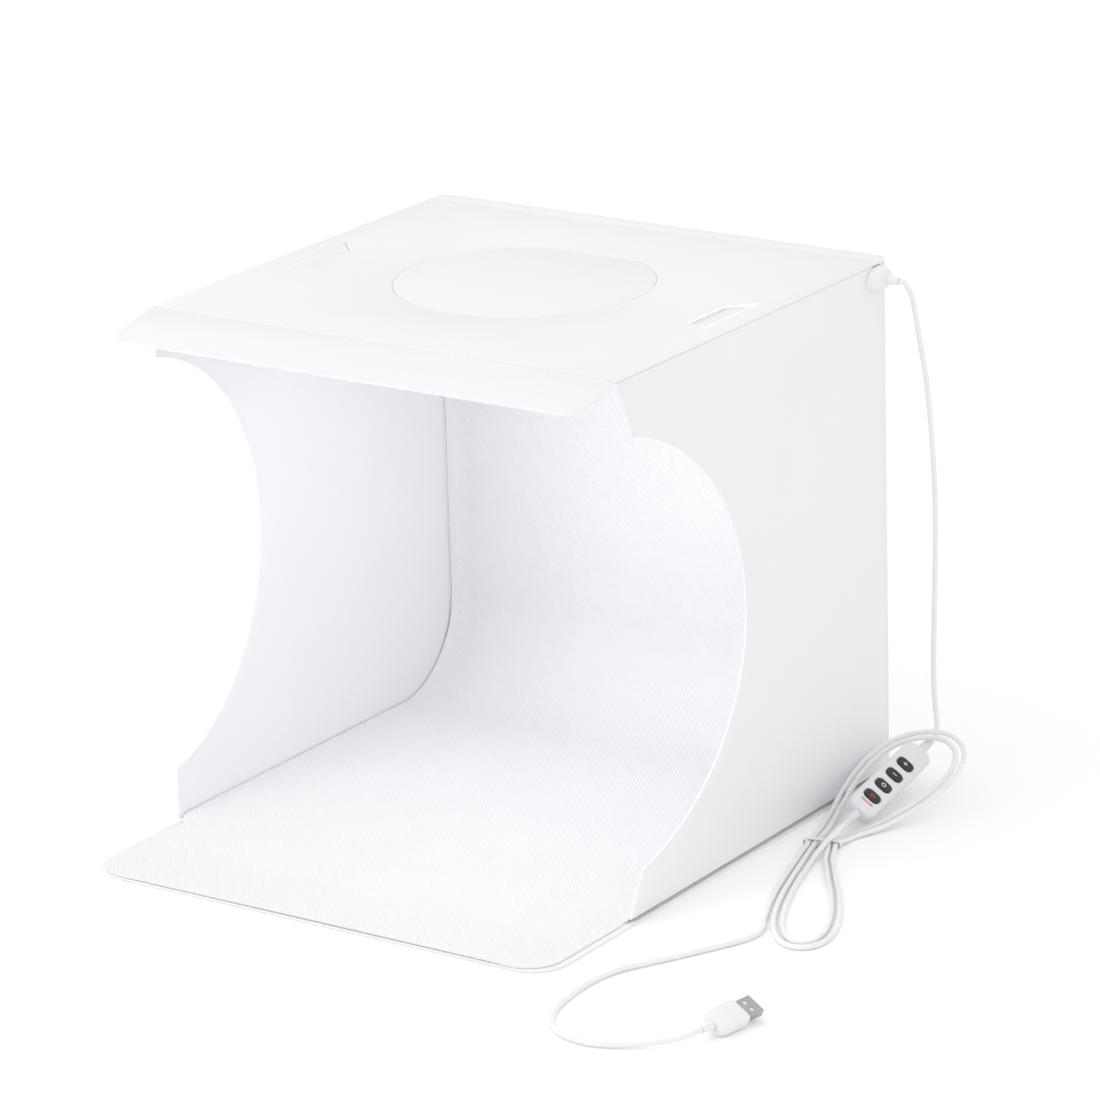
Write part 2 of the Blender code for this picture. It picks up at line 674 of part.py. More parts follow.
def tab_outline(extra, ease=0):
    """Right lock tab about its middle, x outwards; extra widens it and ease shortens its root."""
    half = TAB_ROOT_LENGTH / 2
    tip = TAB_ROOT_X - TAB_WIDTH
    return grown(((TAB_ROOT_X, ease - half), (TAB_ROOT_X, half - ease), (tip, half - TAB_BACK_SLANT),
                  (tip, TAB_FRONT_SLANT - half)), extra)


def build_top(material):
    """Top panel with the camera opening and the two tab slots."""
    y_back = Y_SPINE - GAP
    outline = ((HALF_WIDTH, Y_FRONT), (HALF_WIDTH, y_back), (-HALF_WIDTH, y_back), (-HALF_WIDTH, Y_FRONT))
    hinge = Vector((0, Y_SPINE, BOX_HEIGHT))
    rims = [outline, [(x, y + Y_MIDDLE) for x, y in disc_outline(KERF)]]
    slot = [(x, y + TAB_MIDDLE_Y) for x, y in tab_outline(KERF)]
    rims += [mirrored(slot, side) for side in (1, -1)]
    rims = [[(x, y - hinge.y) for x, y in rim] for rim in rims]
    plate("top_panel", rims, 0, SHEET, material, origin=hinge)


def build_disc_flap(material):
    """Round flap over the camera opening, hinged at its back crease."""
    back = disc_crease_y()
    hinge = Vector((0, Y_MIDDLE + back, BOX_HEIGHT))
    outline = [(x, min(y, back - GAP) - back) for x, y in disc_outline(0)]
    plate("top_disc_flap", [outline], 0, SHEET, material, origin=hinge)


def build_visor(material):
    """Sloping lip at the front edge of the top."""
    hinge = Vector((0, Y_FRONT, TOP_UNDERSIDE - GAP))
    corners = rounded_rectangle(HALF_WIDTH, VISOR_LENGTH, VISOR_CORNER_RADIUS)
    outline = [(HALF_WIDTH, -GAP), (-HALF_WIDTH, -GAP)] + [(x, y) for x, y in corners if y < 0]
    visor = plate("visor", [outline], SHEET + GAP, SHEET, material, origin=hinge)
    visor.rotation_euler.x = VISOR_DROP


def build_tab(prefix, side, material):
    """Lock tab, pressed a little below the top, about its outer crease."""
    hinge = Vector((side * TAB_ROOT_X, TAB_MIDDLE_Y, BOX_HEIGHT))
    outline = [(x - TAB_ROOT_X, y) for x, y in tab_outline(0, TAB_ROOT_EASE)]
    tab = plate(f"{prefix}_lock_tab", [mirrored(outline, side)], 0, SHEET, material, origin=hinge)
    tab.rotation_euler.y = -side * TAB_PRESS


# Ring lamp

def build_band(name, inner, outer, top, thickness, material):
    """Flat ring under the top."""
    corners = ((inner, top), (outer, top), (outer, top - thickness), (inner, top - thickness))
    loops = [circle(radius, level, RING_SEGMENTS, centre=(0, Y_MIDDLE)) for radius, level in corners]
    return loft(name, loops, material, closed=True, smooth=True)


def build_lamps(led_top, material):
    """Lamps as thicker steps of one thin strip, so that they are one solid."""
    chip_angle = 2 * math.asin(LED_SIZE / 2 / RING_MIDDLE_RADIUS)
    pitch_angle = 2 * math.pi / LED_COUNT
    inner = RING_MIDDLE_RADIUS - LED_SIZE / 2
    outer = RING_MIDDLE_RADIUS + LED_SIZE / 2
    bm = bmesh.new()
    rings = []
    for index in range(LED_COUNT):
        start = pitch_angle * index - chip_angle / 2
        end = start + chip_angle
        steps = ((start, LED_STRIP_THICKNESS, True), (start, LED_THICKNESS, False),
                 (end, LED_THICKNESS, True), (end, LED_STRIP_THICKNESS, False))
        for angle, drop, is_new in steps:
            corners = ((inner, led_top), (outer, led_top), (outer, led_top - drop), (inner, led_top - drop))
            loop = [(radius * math.cos(angle), radius * math.sin(angle) + Y_MIDDLE, level)
                    for radius, level in corners]
            kept = [] if is_new else rings[-1][:2]
            rings.append(kept + [bm.verts.new(point) for point in loop[len(kept):]])
    for index, ring in enumerate(rings):
        before = rings[index - 1]
        for side in range(4):
            corners = [before[side - 1], before[side], ring[side], ring[side - 1]]
            unique = [corner for k, corner in enumerate(corners) if corner is not corners[k - 1]]
            if len(unique) > 2:
                bm.faces.new(unique)
    place_mesh("ring_leds", bm, material)


def build_ring(tape, board, led, diffuser):
    """Adhesive ring, lamp board, lamps and the channel-shaped diffuser, hung under the top in that order."""
    tape_top = TOP_UNDERSIDE - GAP
    board_top = tape_top - RING_TAPE_THICKNESS - GAP
    led_top = board_top - BOARD_THICKNESS - GAP
    tape_inner = RING_MIDDLE_RADIUS - RING_TAPE_WIDTH / 2
    tape_outer = RING_MIDDLE_RADIUS + RING_TAPE_WIDTH / 2
    build_band("ring_tape", tape_inner, tape_outer, tape_top, RING_TAPE_THICKNESS, tape)
    build_band("ring_board", BOARD_INNER_RADIUS, BOARD_OUTER_RADIUS, board_top, BOARD_THICKNESS, board)
    build_lamps(led_top, led)
    inside = BOARD_INNER_RADIUS - DIFFUSER_CLEARANCE
    outside = BOARD_OUTER_RADIUS + DIFFUSER_CLEARANCE
    bottom = tape_top - DIFFUSER_DEPTH
    floor_top = bottom + DIFFUSER_WALL
    section = ((inside - DIFFUSER_WALL, tape_top), (inside, tape_top), (inside, floor_top),
               (outside, floor_top), (outside, tape_top), (outside + DIFFUSER_WALL, tape_top),
               (outside + DIFFUSER_WALL, bottom), (inside - DIFFUSER_WALL, bottom))
    loops = [circle(radius, level, RING_SEGMENTS, centre=(0, Y_MIDDLE)) for radius, level in section]
    loft("ring_diffuser", loops, diffuser, closed=True, smooth=True)
    return outside + DIFFUSER_WALL


def build_lead(ring_edge, plastic, cord):
    """Terminal block on the ring, the lead under the top, its clip, and the stretch inside the outlet."""
    tape_top = TOP_UNDERSIDE - GAP
    start = ring_edge + GAP
    bm = bmesh.new()
    half = TERMINAL_WIDTH / 2
    add_block(bm, (start, -half, tape_top - TERMINAL_HEIGHT), (start + TERMINAL_LENGTH, half, tape_top))
    turn = Matrix.Translation((0, Y_MIDDLE, 0)) @ Matrix.Rotation(TERMINAL_ANGLE, 4, "Z")
    bm.transform(turn)
    place_mesh("ring_terminal", bm, plastic)
    lead_z = tape_top - CORD_RADIUS
    leave = turn @ Vector((start + TERMINAL_LENGTH + GAP, 0, lead_z))
    onward = turn @ Vector((start + TERMINAL_LENGTH + GAP + 2 * CORD_RADIUS, 0, lead_z))
    join_x = SIDE_INSIDE - GAP - INNER_FLANGE_THICKNESS - GAP - INNER_LEAD_LENGTH
    join = Vector((join_x - GAP, OUTLET_Y, OUTLET_Z))
    before_join = join - Vector((2 * CORD_RADIUS, 0, 0))
    across = before_join - onward
    route = [onward + Vector([a * share for a, share in zip(across, shares)]) for shares in LEAD_ROUTE_SHARES]
    path = through_points([leave, onward, *route, before_join, join], POINT_SPACING)
    tube("ring_lead", path, CORD_RADIUS, 2, cord)
    inner = [Vector((join_x, OUTLET_Y, OUTLET_Z)), Vector((join_x + INNER_LEAD_LENGTH, OUTLET_Y, OUTLET_Z))]
    tube("inner_lead", inner, CORD_RADIUS, 2, cord)
    seat = route[1]
    ahead = route[2] - route[0]
    half_out = CLIP_WIDTH / 2
    half_in = CORD_RADIUS + CLIP_LEAD_CLEARANCE
    saddle = lead_z - CORD_RADIUS - CLIP_LEAD_CLEARANCE
    section = ((half_in, tape_top), (half_out, tape_top), (half_out, saddle - CLIP_WALL),
               (-half_out, saddle - CLIP_WALL), (-half_out, tape_top), (-half_in, tape_top),
               (-half_in, saddle), (half_in, saddle))
    bm = bmesh.new()
    add_loft(bm, (across_y(section, -CLIP_LENGTH / 2), across_y(section, CLIP_LENGTH / 2)))
    turn = Matrix.Rotation(math.atan2(-ahead.x, ahead.y), 4, "Z")
    bm.transform(Matrix.Translation((seat.x, seat.y, 0)) @ turn)
    place_mesh("lead_clip", bm, plastic)


def build_outlet(panel, material, guide):
    """Moulded outlet that slides into an open notch in the right side panel."""
    bm = bmesh.new()
    notch = NECK_RADIUS + NOTCH_CLEARANCE
    inside = SIDE_INSIDE - CUT_OVERRUN
    outside = HALF_WIDTH + CUT_OVERRUN
    section = []
    for step in range(NOTCH_STEPS + 1):
        angle = math.pi * (1 + step / NOTCH_STEPS)
        section.append((OUTLET_Y + notch * math.cos(angle), OUTLET_Z + notch * math.sin(angle)))
    section += [(OUTLET_Y + notch, BOX_HEIGHT + CUT_OVERRUN), (OUTLET_Y - notch, BOX_HEIGHT + CUT_OVERRUN)]
    add_loft(bm, [[(x, y, z) for y, z in section] for x in (inside, outside)])
    cut(panel, place_mesh("outlet notch cutter", bm, guide))
    inner_face = SIDE_INSIDE - GAP
    outer_face = HALF_WIDTH + OUTLET_BOW_CLEARANCE
    nozzle_start = outer_face + OUTER_FLANGE_THICKNESS
    profile = [
        (inner_face - INNER_FLANGE_THICKNESS, INNER_FLANGE_RADIUS), (inner_face, INNER_FLANGE_RADIUS),
        (inner_face, NECK_RADIUS), (outer_face, NECK_RADIUS), (outer_face, OUTER_FLANGE_RADIUS),
        (nozzle_start - OUTER_FLANGE_THICKNESS / 2, OUTER_FLANGE_RADIUS),
        (nozzle_start, OUTER_FLANGE_RADIUS - OUTER_FLANGE_THICKNESS / 2), (nozzle_start, NOZZLE_ROOT_RADIUS),
        (nozzle_start + NOZZLE_LENGTH / 2, (NOZZLE_ROOT_RADIUS + NOZZLE_TIP_RADIUS) / 2),
        (nozzle_start + NOZZLE_LENGTH, NOZZLE_TIP_RADIUS)]
    loops = [circle(radius, level, OUTLET_SEGMENTS, "X", (OUTLET_Y, OUTLET_Z)) for level, radius in profile]
    loft("cable_outlet", loops, material, smooth=True)
    return Vector((nozzle_start + NOZZLE_LENGTH, OUTLET_Y, OUTLET_Z))


# Controller

def relief_profile(length, root, tip, ribs):
    """Tapered strain relief with turned grooves, as (distance, radius) from its root."""
    profile = [(0, root)]
    pitch = length / (ribs + 1)
    for rib in range(ribs):
        start = pitch * (rib + RELIEF_FIRST_SHARE)
        for offset, depth in ((0, 0), (pitch / 5, RELIEF_GROOVE), (2 * pitch / 5, RELIEF_GROOVE),
                              (3 * pitch / 5, 0)):
            distance = start + offset
            profile.append((distance, root + (tip - root) * distance / length - depth))
    profile.append((length, tip))
    return profile


def controller_frame():
    """Empty at the controller's middle: its Y runs from the low end to the high one and its Z faces up."""
    along = CONTROLLER_HIGH - CONTROLLER_LOW
    y_axis = along.normalized()
    x_axis = y_axis.cross(Vector((0, 0, 1))).normalized()
    z_axis = x_axis.cross(y_axis)
    frame = bpy.data.objects.new("controller frame", None)
    bpy.context.scene.collection.objects.link(frame)
    turn = Matrix((x_axis, y_axis, z_axis)).transposed().to_4x4() @ Matrix.Rotation(CONTROLLER_ROLL, 4, "Y")
    frame.matrix_world = Matrix.Translation((CONTROLLER_LOW + CONTROLLER_HIGH) / 2) @ turn
    return frame, along.length / 2


def shell_loops(half_length, face, wall, inset_round):
    """Loops of a shell's outside, from its face to the parting line."""
    half_width = CONTROLLER_WIDTH / 2 - wall
    half_long = half_length - wall
    corner = CONTROLLER_CORNER - wall
    loops = []
    for step in range(SHELL_ROUND_STEPS, -1, -1):
        angle = QUARTER_TURN * step / SHELL_ROUND_STEPS
        inset = inset_round * (1 - math.cos(angle))
        level = face * (1 - inset_round * (1 - math.sin(angle)) / abs(face))
        outline = rounded_rectangle(half_width - inset, half_long - inset, corner - inset / 2)
        loops.append(at_level(outline, level))
    return loops


def build_controller(frame, half_length, shell, button, board):
    """Two shells, the board with its switches, and the four buttons."""
    half_height = CONTROLLER_HEIGHT / 2
    for name, sign in (("controller_lower_shell", -1), ("controller_upper_shell", 1)):
        seam = sign * GAP / 2
        outside = shell_loops(half_length, sign * half_height, 0, CONTROLLER_ROUND)
        lining = sign * (half_height - CONTROLLER_WALL)
        inside = shell_loops(half_length, lining, CONTROLLER_WALL, CONTROLLER_WALL)
        rim_out = [(x, y, seam) for x, y, z in outside[-1]]
        rim_in = [(x, y, seam) for x, y, z in inside[-1]]
        piece = loft(name, outside + [rim_out, rim_in] + inside[::-1], shell, parent=frame, smooth=True)
    lid_inside = half_height - CONTROLLER_WALL
    button_places = [BUTTON_ROW_SHIFT + BUTTON_PITCH * (index - (len(BUTTON_NAMES) - 1) / 2)
                     for index in range(len(BUTTON_NAMES))]
    cutter = bmesh.new()
    for y in button_places:
        outline = rounded_rectangle(BUTTON_ACROSS / 2 + GAP, BUTTON_ALONG / 2 + GAP, BUTTON_CORNER + GAP, 4)
        outline = [(x, dy + y) for x, dy in outline]
        add_loft(cutter, (at_level(outline, lid_inside - GAP), at_level(outline, half_height + CUT_OVERRUN)))
    cut(piece, place_mesh("button hole cutter", cutter, shell, parent=frame))
    lip_top = lid_inside - GAP
    lip_bottom = lip_top - BUTTON_LIP_THICKNESS
    top = half_height + BUTTON_PROUD
    for name, y in zip(BUTTON_NAMES, button_places):
        loops = []
        steps = ((BUTTON_LIP, lip_bottom), (BUTTON_LIP, lip_top), (0, lip_top),
                 (0, top - BUTTON_PROUD / 2), (-BUTTON_PROUD / 2, top))
        for spread, level in steps:
            outline = rounded_rectangle(BUTTON_ACROSS / 2 + spread, BUTTON_ALONG / 2 + spread,
                                        BUTTON_CORNER + spread, 4)
            loops.append(at_level(outline, level))
        loft(name, loops, button, origin=(0, y, 0), parent=frame, smooth=True)
    switch_top = lip_bottom - BUTTON_TRAVEL - GAP
    board_top = 0
    board_half_x = CONTROLLER_WIDTH / 2 - CONTROLLER_WALL - BOARD_EDGE_CLEARANCE
    board_half_y = half_length - CONTROLLER_WALL - BOARD_EDGE_CLEARANCE
    outline = rounded_rectangle(board_half_x, board_half_y, CONTROLLER_CORNER - CONTROLLER_WALL, 3)
    circuit = plate("controller_board", [outline], board_top, CONTROLLER_BOARD_THICKNESS, board, parent=frame)
    bm = bmesh.new()
    for y in button_places:
        half = SWITCH_SIZE / 2
        low = (-half, y - half, board_top - CONTROLLER_BOARD_THICKNESS / 2)
        add_block(bm, low, (half, y + half, switch_top))
    union = circuit.modifiers.new("switches", "BOOLEAN")
    union.operation = "UNION"
    union.object = place_mesh("switch blocks", bm, board, parent=frame)
    hide_cutter(union.object)


def build_reliefs(frame, half_length, material):
    """Ribbed strain reliefs at the controller's two ends; returns their tips in the part's frame."""
    tips = []
    for name, sign in (("controller_outlet_relief", -1), ("controller_inlet_relief", 1)):
        profile = relief_profile(RELIEF_LENGTH, RELIEF_ROOT_RADIUS, RELIEF_TIP_RADIUS, RELIEF_RIBS)
        root = half_length + GAP
        loops = [circle(radius, sign * (root + distance), RELIEF_SEGMENTS, "Y")
                 for distance, radius in profile]
        loft(name, loops, material, parent=frame, smooth=True)
        tips.append(frame.matrix_world @ Vector((0, sign * (half_length + GAP + RELIEF_LENGTH + GAP), 0)))
    return tips


# Hank

def hank_core(angle):
    """The hank's innermost loop: two lobes either side of the tie, on an axis that bends at the tie."""
    half_span = (HANK_UPPER_END - HANK_LOWER_END) / 2
    bend = (HANK_UPPER_END + HANK_LOWER_END) / 2 - HANK_TIE
    along = -math.cos(angle)
    bent = math.sqrt(along ** 2 + HANK_BEND_SHARE ** 2)
    heading = (half_span + bend * along / bent).normalized()
    beside = Vector((heading.y, -heading.x))
    flare = math.sqrt(along ** 2 + HANK_FLARE_SHARE ** 2) - HANK_FLARE_SHARE
    swell = HANK_LOWER_SWELL if along < 0 else HANK_UPPER_SWELL
    reach = math.sin(angle) * (HANK_WAIST + swell * flare)
    return HANK_TIE + half_span * along + bend * (bent - HANK_BEND_SHARE) + beside * reach


def hank_point(turn):
    """Centre of the hank's cord after a number of turns, counted from the tie towards the lower lobe."""
    angle = 2 * math.pi * turn - QUARTER_TURN
    angle -= HANK_END_SHARE * math.sin(2 * angle)
    ahead = (hank_core(angle + HANK_ANGLE_STEP) - hank_core(angle - HANK_ANGLE_STEP)).normalized()
    pitch = HANK_WAIST_PITCH + (HANK_LOBE_PITCH - HANK_WAIST_PITCH) * abs(math.cos(angle))
    place = hank_core(angle) + Vector((ahead.y, -ahead.x)) * pitch * turn
    near_tie = math.exp(-((place.y - HANK_TIE.y) / (TIE_WIDTH * TIE_RISE_WIDTHS)) ** 2)
    rise = (TIE_UNDER_GAP + TIE_THICKNESS + GAP) * near_tie
    behind = max(0, place.y - HANK_TIE.y - HANK_SLOPE_START)
    rise += HANK_SLOPE_SHARE * behind ** 2 / (behind + HANK_SLOPE_EASE)
    return Vector((place.x, place.y, CORD_RADIUS + rise))


def least_self_gap(path, radius):
    """Least clear distance between stretches of a tube that aren't neighbours along it."""
    fine = []
    for a, b in zip(path, path[1:]):
        fine += [a.lerp(b, step / GAP_FINE_STEPS) for step in range(GAP_FINE_STEPS)]
    lengths = [0]
    for a, b in zip(fine, fine[1:]):
        lengths.append(lengths[-1] + (b - a).length)
    least = math.inf
    for i, place in enumerate(fine):
        for j in range(i + 1, len(fine)):
            if lengths[j] - lengths[i] > SELF_GAP_RADII * radius:
                least = min(least, (fine[j] - place).length - 2 * radius)
    return least


def build_hank(start, heading, cord, tie_material):
    """Wound cord from the controller's outlet relief to the tail, and the tie round its waist."""
    straight = start + heading * 2 * CORD_RADIUS
    points_per_turn = 2 * HANK_POINTS_PER_LOBE
    steps = range(round(HANK_START_TURN * points_per_turn), round(HANK_TURNS * points_per_turn) + 1)
    wound = [hank_point(step / points_per_turn) for step in steps]
    path = [start, straight, *[Vector(point) for point in LEAD_IN_POINTS], *wound]
    leaving = (wound[-1] - wound[-2]).normalized()
    path.append(wound[-1] + leaving * 2 * CORD_RADIUS)
    tube("cord_hank", path, CORD_RADIUS, 1, cord)
    print("least gap of the hank to itself: %.5f m" % least_self_gap(path, CORD_RADIUS))
    half_span = (HANK_UPPER_END - HANK_LOWER_END) / 2
    beside = Vector((half_span.y, -half_span.x)).normalized()
    outer_turns = [hank_point(turn) for turn in HANK_OUTER_TURNS]
    reaches = [(Vector((p.x, p.y)) - HANK_TIE).dot(beside) for p in outer_turns]
    middle = (max(reaches) + min(reaches)) / 2
    half_x = (max(reaches) - min(reaches)) / 2 + CORD_RADIUS + TIE_SIDE_GAP
    z_middle = hank_point(1).z
    loops = []
    for spread, level in ((0, -1), (TIE_THICKNESS, -1), (TIE_THICKNESS, 1), (0, 1)):
        half_z = CORD_RADIUS + GAP + spread
        outline = rounded_rectangle(half_x + spread, half_z, half_z * TIE_ROUND_SHARE)
        loops.append(across_y(outline, level * TIE_WIDTH / 2))
    bm = bmesh.new()
    add_loft(bm, loops, closed=True)
    centre = HANK_TIE + beside * middle
    turn = Matrix.Rotation(math.atan2(beside.y, beside.x), 4, "Z")
    bm.transform(Matrix.Translation((centre.x, centre.y, z_middle)) @ turn)
    place_mesh("twist_tie", bm, tie_material, smooth=True)
    return path[-1], leaving


# Plug

def build_plug(white, metal, insulator, gold):
    """Relief, overmoulding, metal shell with two latch windows, insulator and four contacts."""
    frame = bpy.data.objects.new("plug frame", None)
    bpy.context.scene.collection.objects.link(frame)
    frame.location = PLUG_BACK
    frame.rotation_euler = (0, PLUG_ROLL, PLUG_TURN)
    profile = relief_profile(PLUG_RELIEF_LENGTH, PLUG_RELIEF_ROOT_RADIUS, PLUG_RELIEF_TIP_RADIUS, 0)
    loops = [circle(radius, distance, RELIEF_SEGMENTS, "Y") for distance, radius in profile]
    loft("plug_relief", loops, white, parent=frame, smooth=True)
    start = PLUG_RELIEF_LENGTH + GAP
    end = start + OVERMOULD_LENGTH
    shoulder = OVERMOULD_SHOULDER
    half_x = OVERMOULD_WIDTH / 2
    half_z = OVERMOULD_HEIGHT / 2
    loops = []
    steps = ((shoulder, start), (shoulder / 4, start + shoulder * SHOULDER_KNEE_SHARE),
             (0, start + 2 * shoulder), (0, end - shoulder / 2), (shoulder / 4, end))
    for inset, level in steps:
        outline = rounded_rectangle(half_x - inset, half_z - inset / 3, OVERMOULD_CORNER - inset / 4, 4)
        loops.append(across_y(outline, level))
    loft("plug_overmould", loops, white, parent=frame, smooth=True)
    shell_start = end + GAP
    tip = shell_start + PLUG_SHELL_LENGTH
    loops = []
    for inset, level in ((0, shell_start), (0, tip), (PLUG_SHELL_WALL, tip), (PLUG_SHELL_WALL, shell_start)):
        outline = rounded_rectangle(PLUG_SHELL_WIDTH / 2 - inset, PLUG_SHELL_HEIGHT / 2 - inset,
                                    PLUG_SHELL_CORNER - inset / 2, 2)
        loops.append(across_y(outline, level))
    shell = loft("plug_shell", loops, metal, closed=True, parent=frame, smooth=True)
    cutter = bmesh.new()
    half = PLUG_WINDOW / 2
    for side in (-1, 1):
        x = side * PLUG_WINDOW_FROM_MIDDLE
        y = tip - PLUG_WINDOW_FROM_TIP
        top = PLUG_SHELL_HEIGHT / 2
        low = (x - half, y - half, top - 2 * PLUG_SHELL_WALL)
        add_block(cutter, low, (x + half, y + half, top + CUT_OVERRUN))
    cut(shell, place_mesh("latch window cutter", cutter, metal, parent=frame))
    inside_half = PLUG_SHELL_WIDTH / 2 - PLUG_SHELL_WALL - GAP
    floor = -PLUG_SHELL_HEIGHT / 2 + PLUG_SHELL_WALL + GAP
    bm = bmesh.new()
    add_block(bm, (-inside_half, shell_start, floor), (inside_half, tip - 2 * GAP, floor + INSULATOR_HEIGHT))
    place_mesh("plug_insulator", bm, insulator, parent=frame)
    top = floor + INSULATOR_HEIGHT + GAP
    for index in range(CONTACT_COUNT):
        x = CONTACT_PITCH * (index - (CONTACT_COUNT - 1) / 2)
        bm = bmesh.new()
        add_block(bm, (x - CONTACT_WIDTH / 2, tip - 3 * GAP - CONTACT_LENGTH, top),
                  (x + CONTACT_WIDTH / 2, tip - 3 * GAP, top + CONTACT_THICKNESS))
        place_mesh(f"plug_contact_{index + 1}", bm, gold, parent=frame)


def build():
    """Make the whole part."""
    for leftover in list(bpy.data.objects):
        bpy.data.objects.remove(leftover)

    sheet = make_material("panel plastic", (0.90, 0.90, 0.93), 0.55)
    cloth = make_material("backdrop fabric", (0.90, 0.90, 0.93), 0.9)
    hook = make_material("hook tape", (0.80, 0.80, 0.80), 0.9)
    loop = make_material("loop tape", (0.85, 0.85, 0.85), 0.95)
    foam = make_material("foam tape", (0.85, 0.85, 0.83), 0.9)
    lamp_board = make_material("lamp board", (0.86, 0.87, 0.86), 0.5)
    lamp = make_material("lamp chip", (0.90, 0.82, 0.35), 0.4)
    diffuser = make_material("diffuser", (0.93, 0.93, 0.94), 0.5)
    cord = make_material("cord sheath", (0.84, 0.84, 0.86), 0.45)
    white = make_material("white moulding", (0.88, 0.88, 0.90), 0.45)
    shell = make_material("controller shell", (0.74, 0.73, 0.76), 0.4)
    black = make_material("button rubber", (0.02, 0.02, 0.02), 0.5)
    green = make_material("circuit board", (0.05, 0.25, 0.12), 0.5)
    steel = make_material("plug metal", (0.45, 0.46, 0.44), 0.3, 1.0)
    insulator = make_material("plug insulator", (0.85, 0.85, 0.85), 0.5)
    gold = make_material("contacts", (0.85, 0.65, 0.25), 0.3, 1.0)

    build_base(sheet)
    build_back(sheet)
    build_side("left", -1, sheet)
    right_panel = build_side("right", 1, sheet)
    build_pads(hook, loop)
    build_backdrop(cloth)
    build_front_flap(sheet, cloth)
    build_top(sheet)
    build_disc_flap(sheet)
    build_visor(sheet)
    build_tab("left", -1, sheet)
    build_tab("right", 1, sheet)
    ring_edge = build_ring(foam, lamp_board, lamp, diffuser)
    build_lead(ring_edge, white, cord)
    nozzle_tip = build_outlet(right_panel, white, sheet)

    frame, half_length = controller_frame()
    build_controller(frame, half_length, shell, black, green)
    outlet_tip, inlet_tip = build_reliefs(frame, half_length, shell)
    low_heading = (CONTROLLER_LOW - CONTROLLER_HIGH).normalized()
    hank_end, hank_heading = build_hank(outlet_tip, low_heading, cord, white)

    drop_start = nozzle_tip + Vector((GAP, 0, 0))
    drop = [drop_start, drop_start + Vector((2 * CORD_RADIUS, 0, 0)), *DROP_ROUTE,
            inlet_tip - low_heading * 2 * CORD_RADIUS, inlet_tip]
    drop_path = through_points(drop, POINT_SPACING)
    tube("drop_cord", drop_path, CORD_RADIUS, 2, cord)
    tail_start = hank_end + hank_heading * GAP
    plug_heading = Matrix.Rotation(PLUG_TURN, 3, "Z") @ Vector((0, 1, 0))
    plug_entry = PLUG_BACK - plug_heading * GAP
    tail = [tail_start, tail_start + hank_heading * 2 * CORD_RADIUS, *TAIL_ROUTE,
            plug_entry - plug_heading * 2 * CORD_RADIUS, plug_entry]
    tail_path = through_points(tail, POINT_SPACING)
    tube("tail_cord", tail_path, CORD_RADIUS, 2, cord)
    print("cord lengths: drop %.3f m, tail %.3f m" % (path_length(drop_path), path_length(tail_path)))
    build_plug(white, steel, insulator, gold)


build()
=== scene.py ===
"""Looks of the folding light tent cube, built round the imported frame. Metres, +Z up, the front faces -Y."""
import math

import bmesh
import bpy
from mathutils import Matrix, Vector, noise


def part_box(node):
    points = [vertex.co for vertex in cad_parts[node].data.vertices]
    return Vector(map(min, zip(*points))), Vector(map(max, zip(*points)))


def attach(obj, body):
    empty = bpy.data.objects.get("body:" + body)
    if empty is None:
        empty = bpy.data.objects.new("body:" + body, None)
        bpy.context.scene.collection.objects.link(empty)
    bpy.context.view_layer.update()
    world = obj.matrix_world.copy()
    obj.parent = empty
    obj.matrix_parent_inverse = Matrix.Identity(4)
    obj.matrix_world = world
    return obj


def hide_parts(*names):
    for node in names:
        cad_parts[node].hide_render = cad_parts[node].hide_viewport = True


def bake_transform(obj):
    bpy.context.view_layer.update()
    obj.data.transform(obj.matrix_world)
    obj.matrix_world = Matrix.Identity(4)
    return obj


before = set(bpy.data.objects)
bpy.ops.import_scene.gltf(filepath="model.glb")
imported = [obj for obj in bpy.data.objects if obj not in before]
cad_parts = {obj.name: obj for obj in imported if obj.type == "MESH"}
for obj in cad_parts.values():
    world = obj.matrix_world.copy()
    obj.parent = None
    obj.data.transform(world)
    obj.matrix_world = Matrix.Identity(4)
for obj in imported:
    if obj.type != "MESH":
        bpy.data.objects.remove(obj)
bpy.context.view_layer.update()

# Box sizes, as in the part's source
GAP = 0.0003
SHEET = 0.0012
HALF_WIDTH = 0.150
Y_BACK = 0.1785
Y_FRONT = -0.0965
Y_MIDDLE = 0.041
BOX_HEIGHT = 0.300
CORNER_RADIUS = 0.008
Y_SPINE = 0.1665
Y_CORNER = 0.1705
BASE_MARGIN = 0.0015
PANEL_CORNER_RADIUS = 0.0025
TOP_FLANGE_TOP = 0.2985
BOTTOM_FLANGE_BOTTOM = 0.0035
CUT_RADIUS = 0.122
CUT_CENTRE_AHEAD = 0.0204
FRONT_LEAN = 0.006
SIDE_BOW = 0.0121
BOW_PEAK_FROM_CREASE = 0.167
BOW_EARLY_SHARE = 1.5
FLAP_LENGTH = 0.082
FLAP_CORNER_RADIUS = 0.020
VISOR_LENGTH = 0.039
VISOR_CORNER_RADIUS = 0.010
VISOR_DROP = math.radians(13.0)
DISC_RADIUS = 0.072
DISC_CREASE = 0.066
KERF = 0.0004
TAB_ROOT_X = 0.136
TAB_MIDDLE_Y = 0.036
TAB_WIDTH = 0.013
TAB_ROOT_LENGTH = 0.054
TAB_FRONT_SLANT = 0.005
TAB_BACK_SLANT = 0.014
TAB_ROOT_EASE = 0.0013
TAB_PRESS = math.radians(8.0)
EDGE_ROUND = 0.00022
# Painted glow on the slot edges, which are no lamp; on the left slot it covers only the rear part, from
# LEFT_SLOT_LIT_FROM on, as a small painted glint.
SLOT_GLOW = 0.30
LEFT_SLOT_LIT_FROM = 0.5
SIDE_TOP = 0.2987
CORNER_STEPS = 12
NOTCH_RADIUS = 0.0040
NOTCH_HEIGHT = 0.0125
NOTCH_REACH = (-0.0052, 0.004)
WEB_DEPTH = 0.00065
WEB_HALF_LENGTH = 0.1492
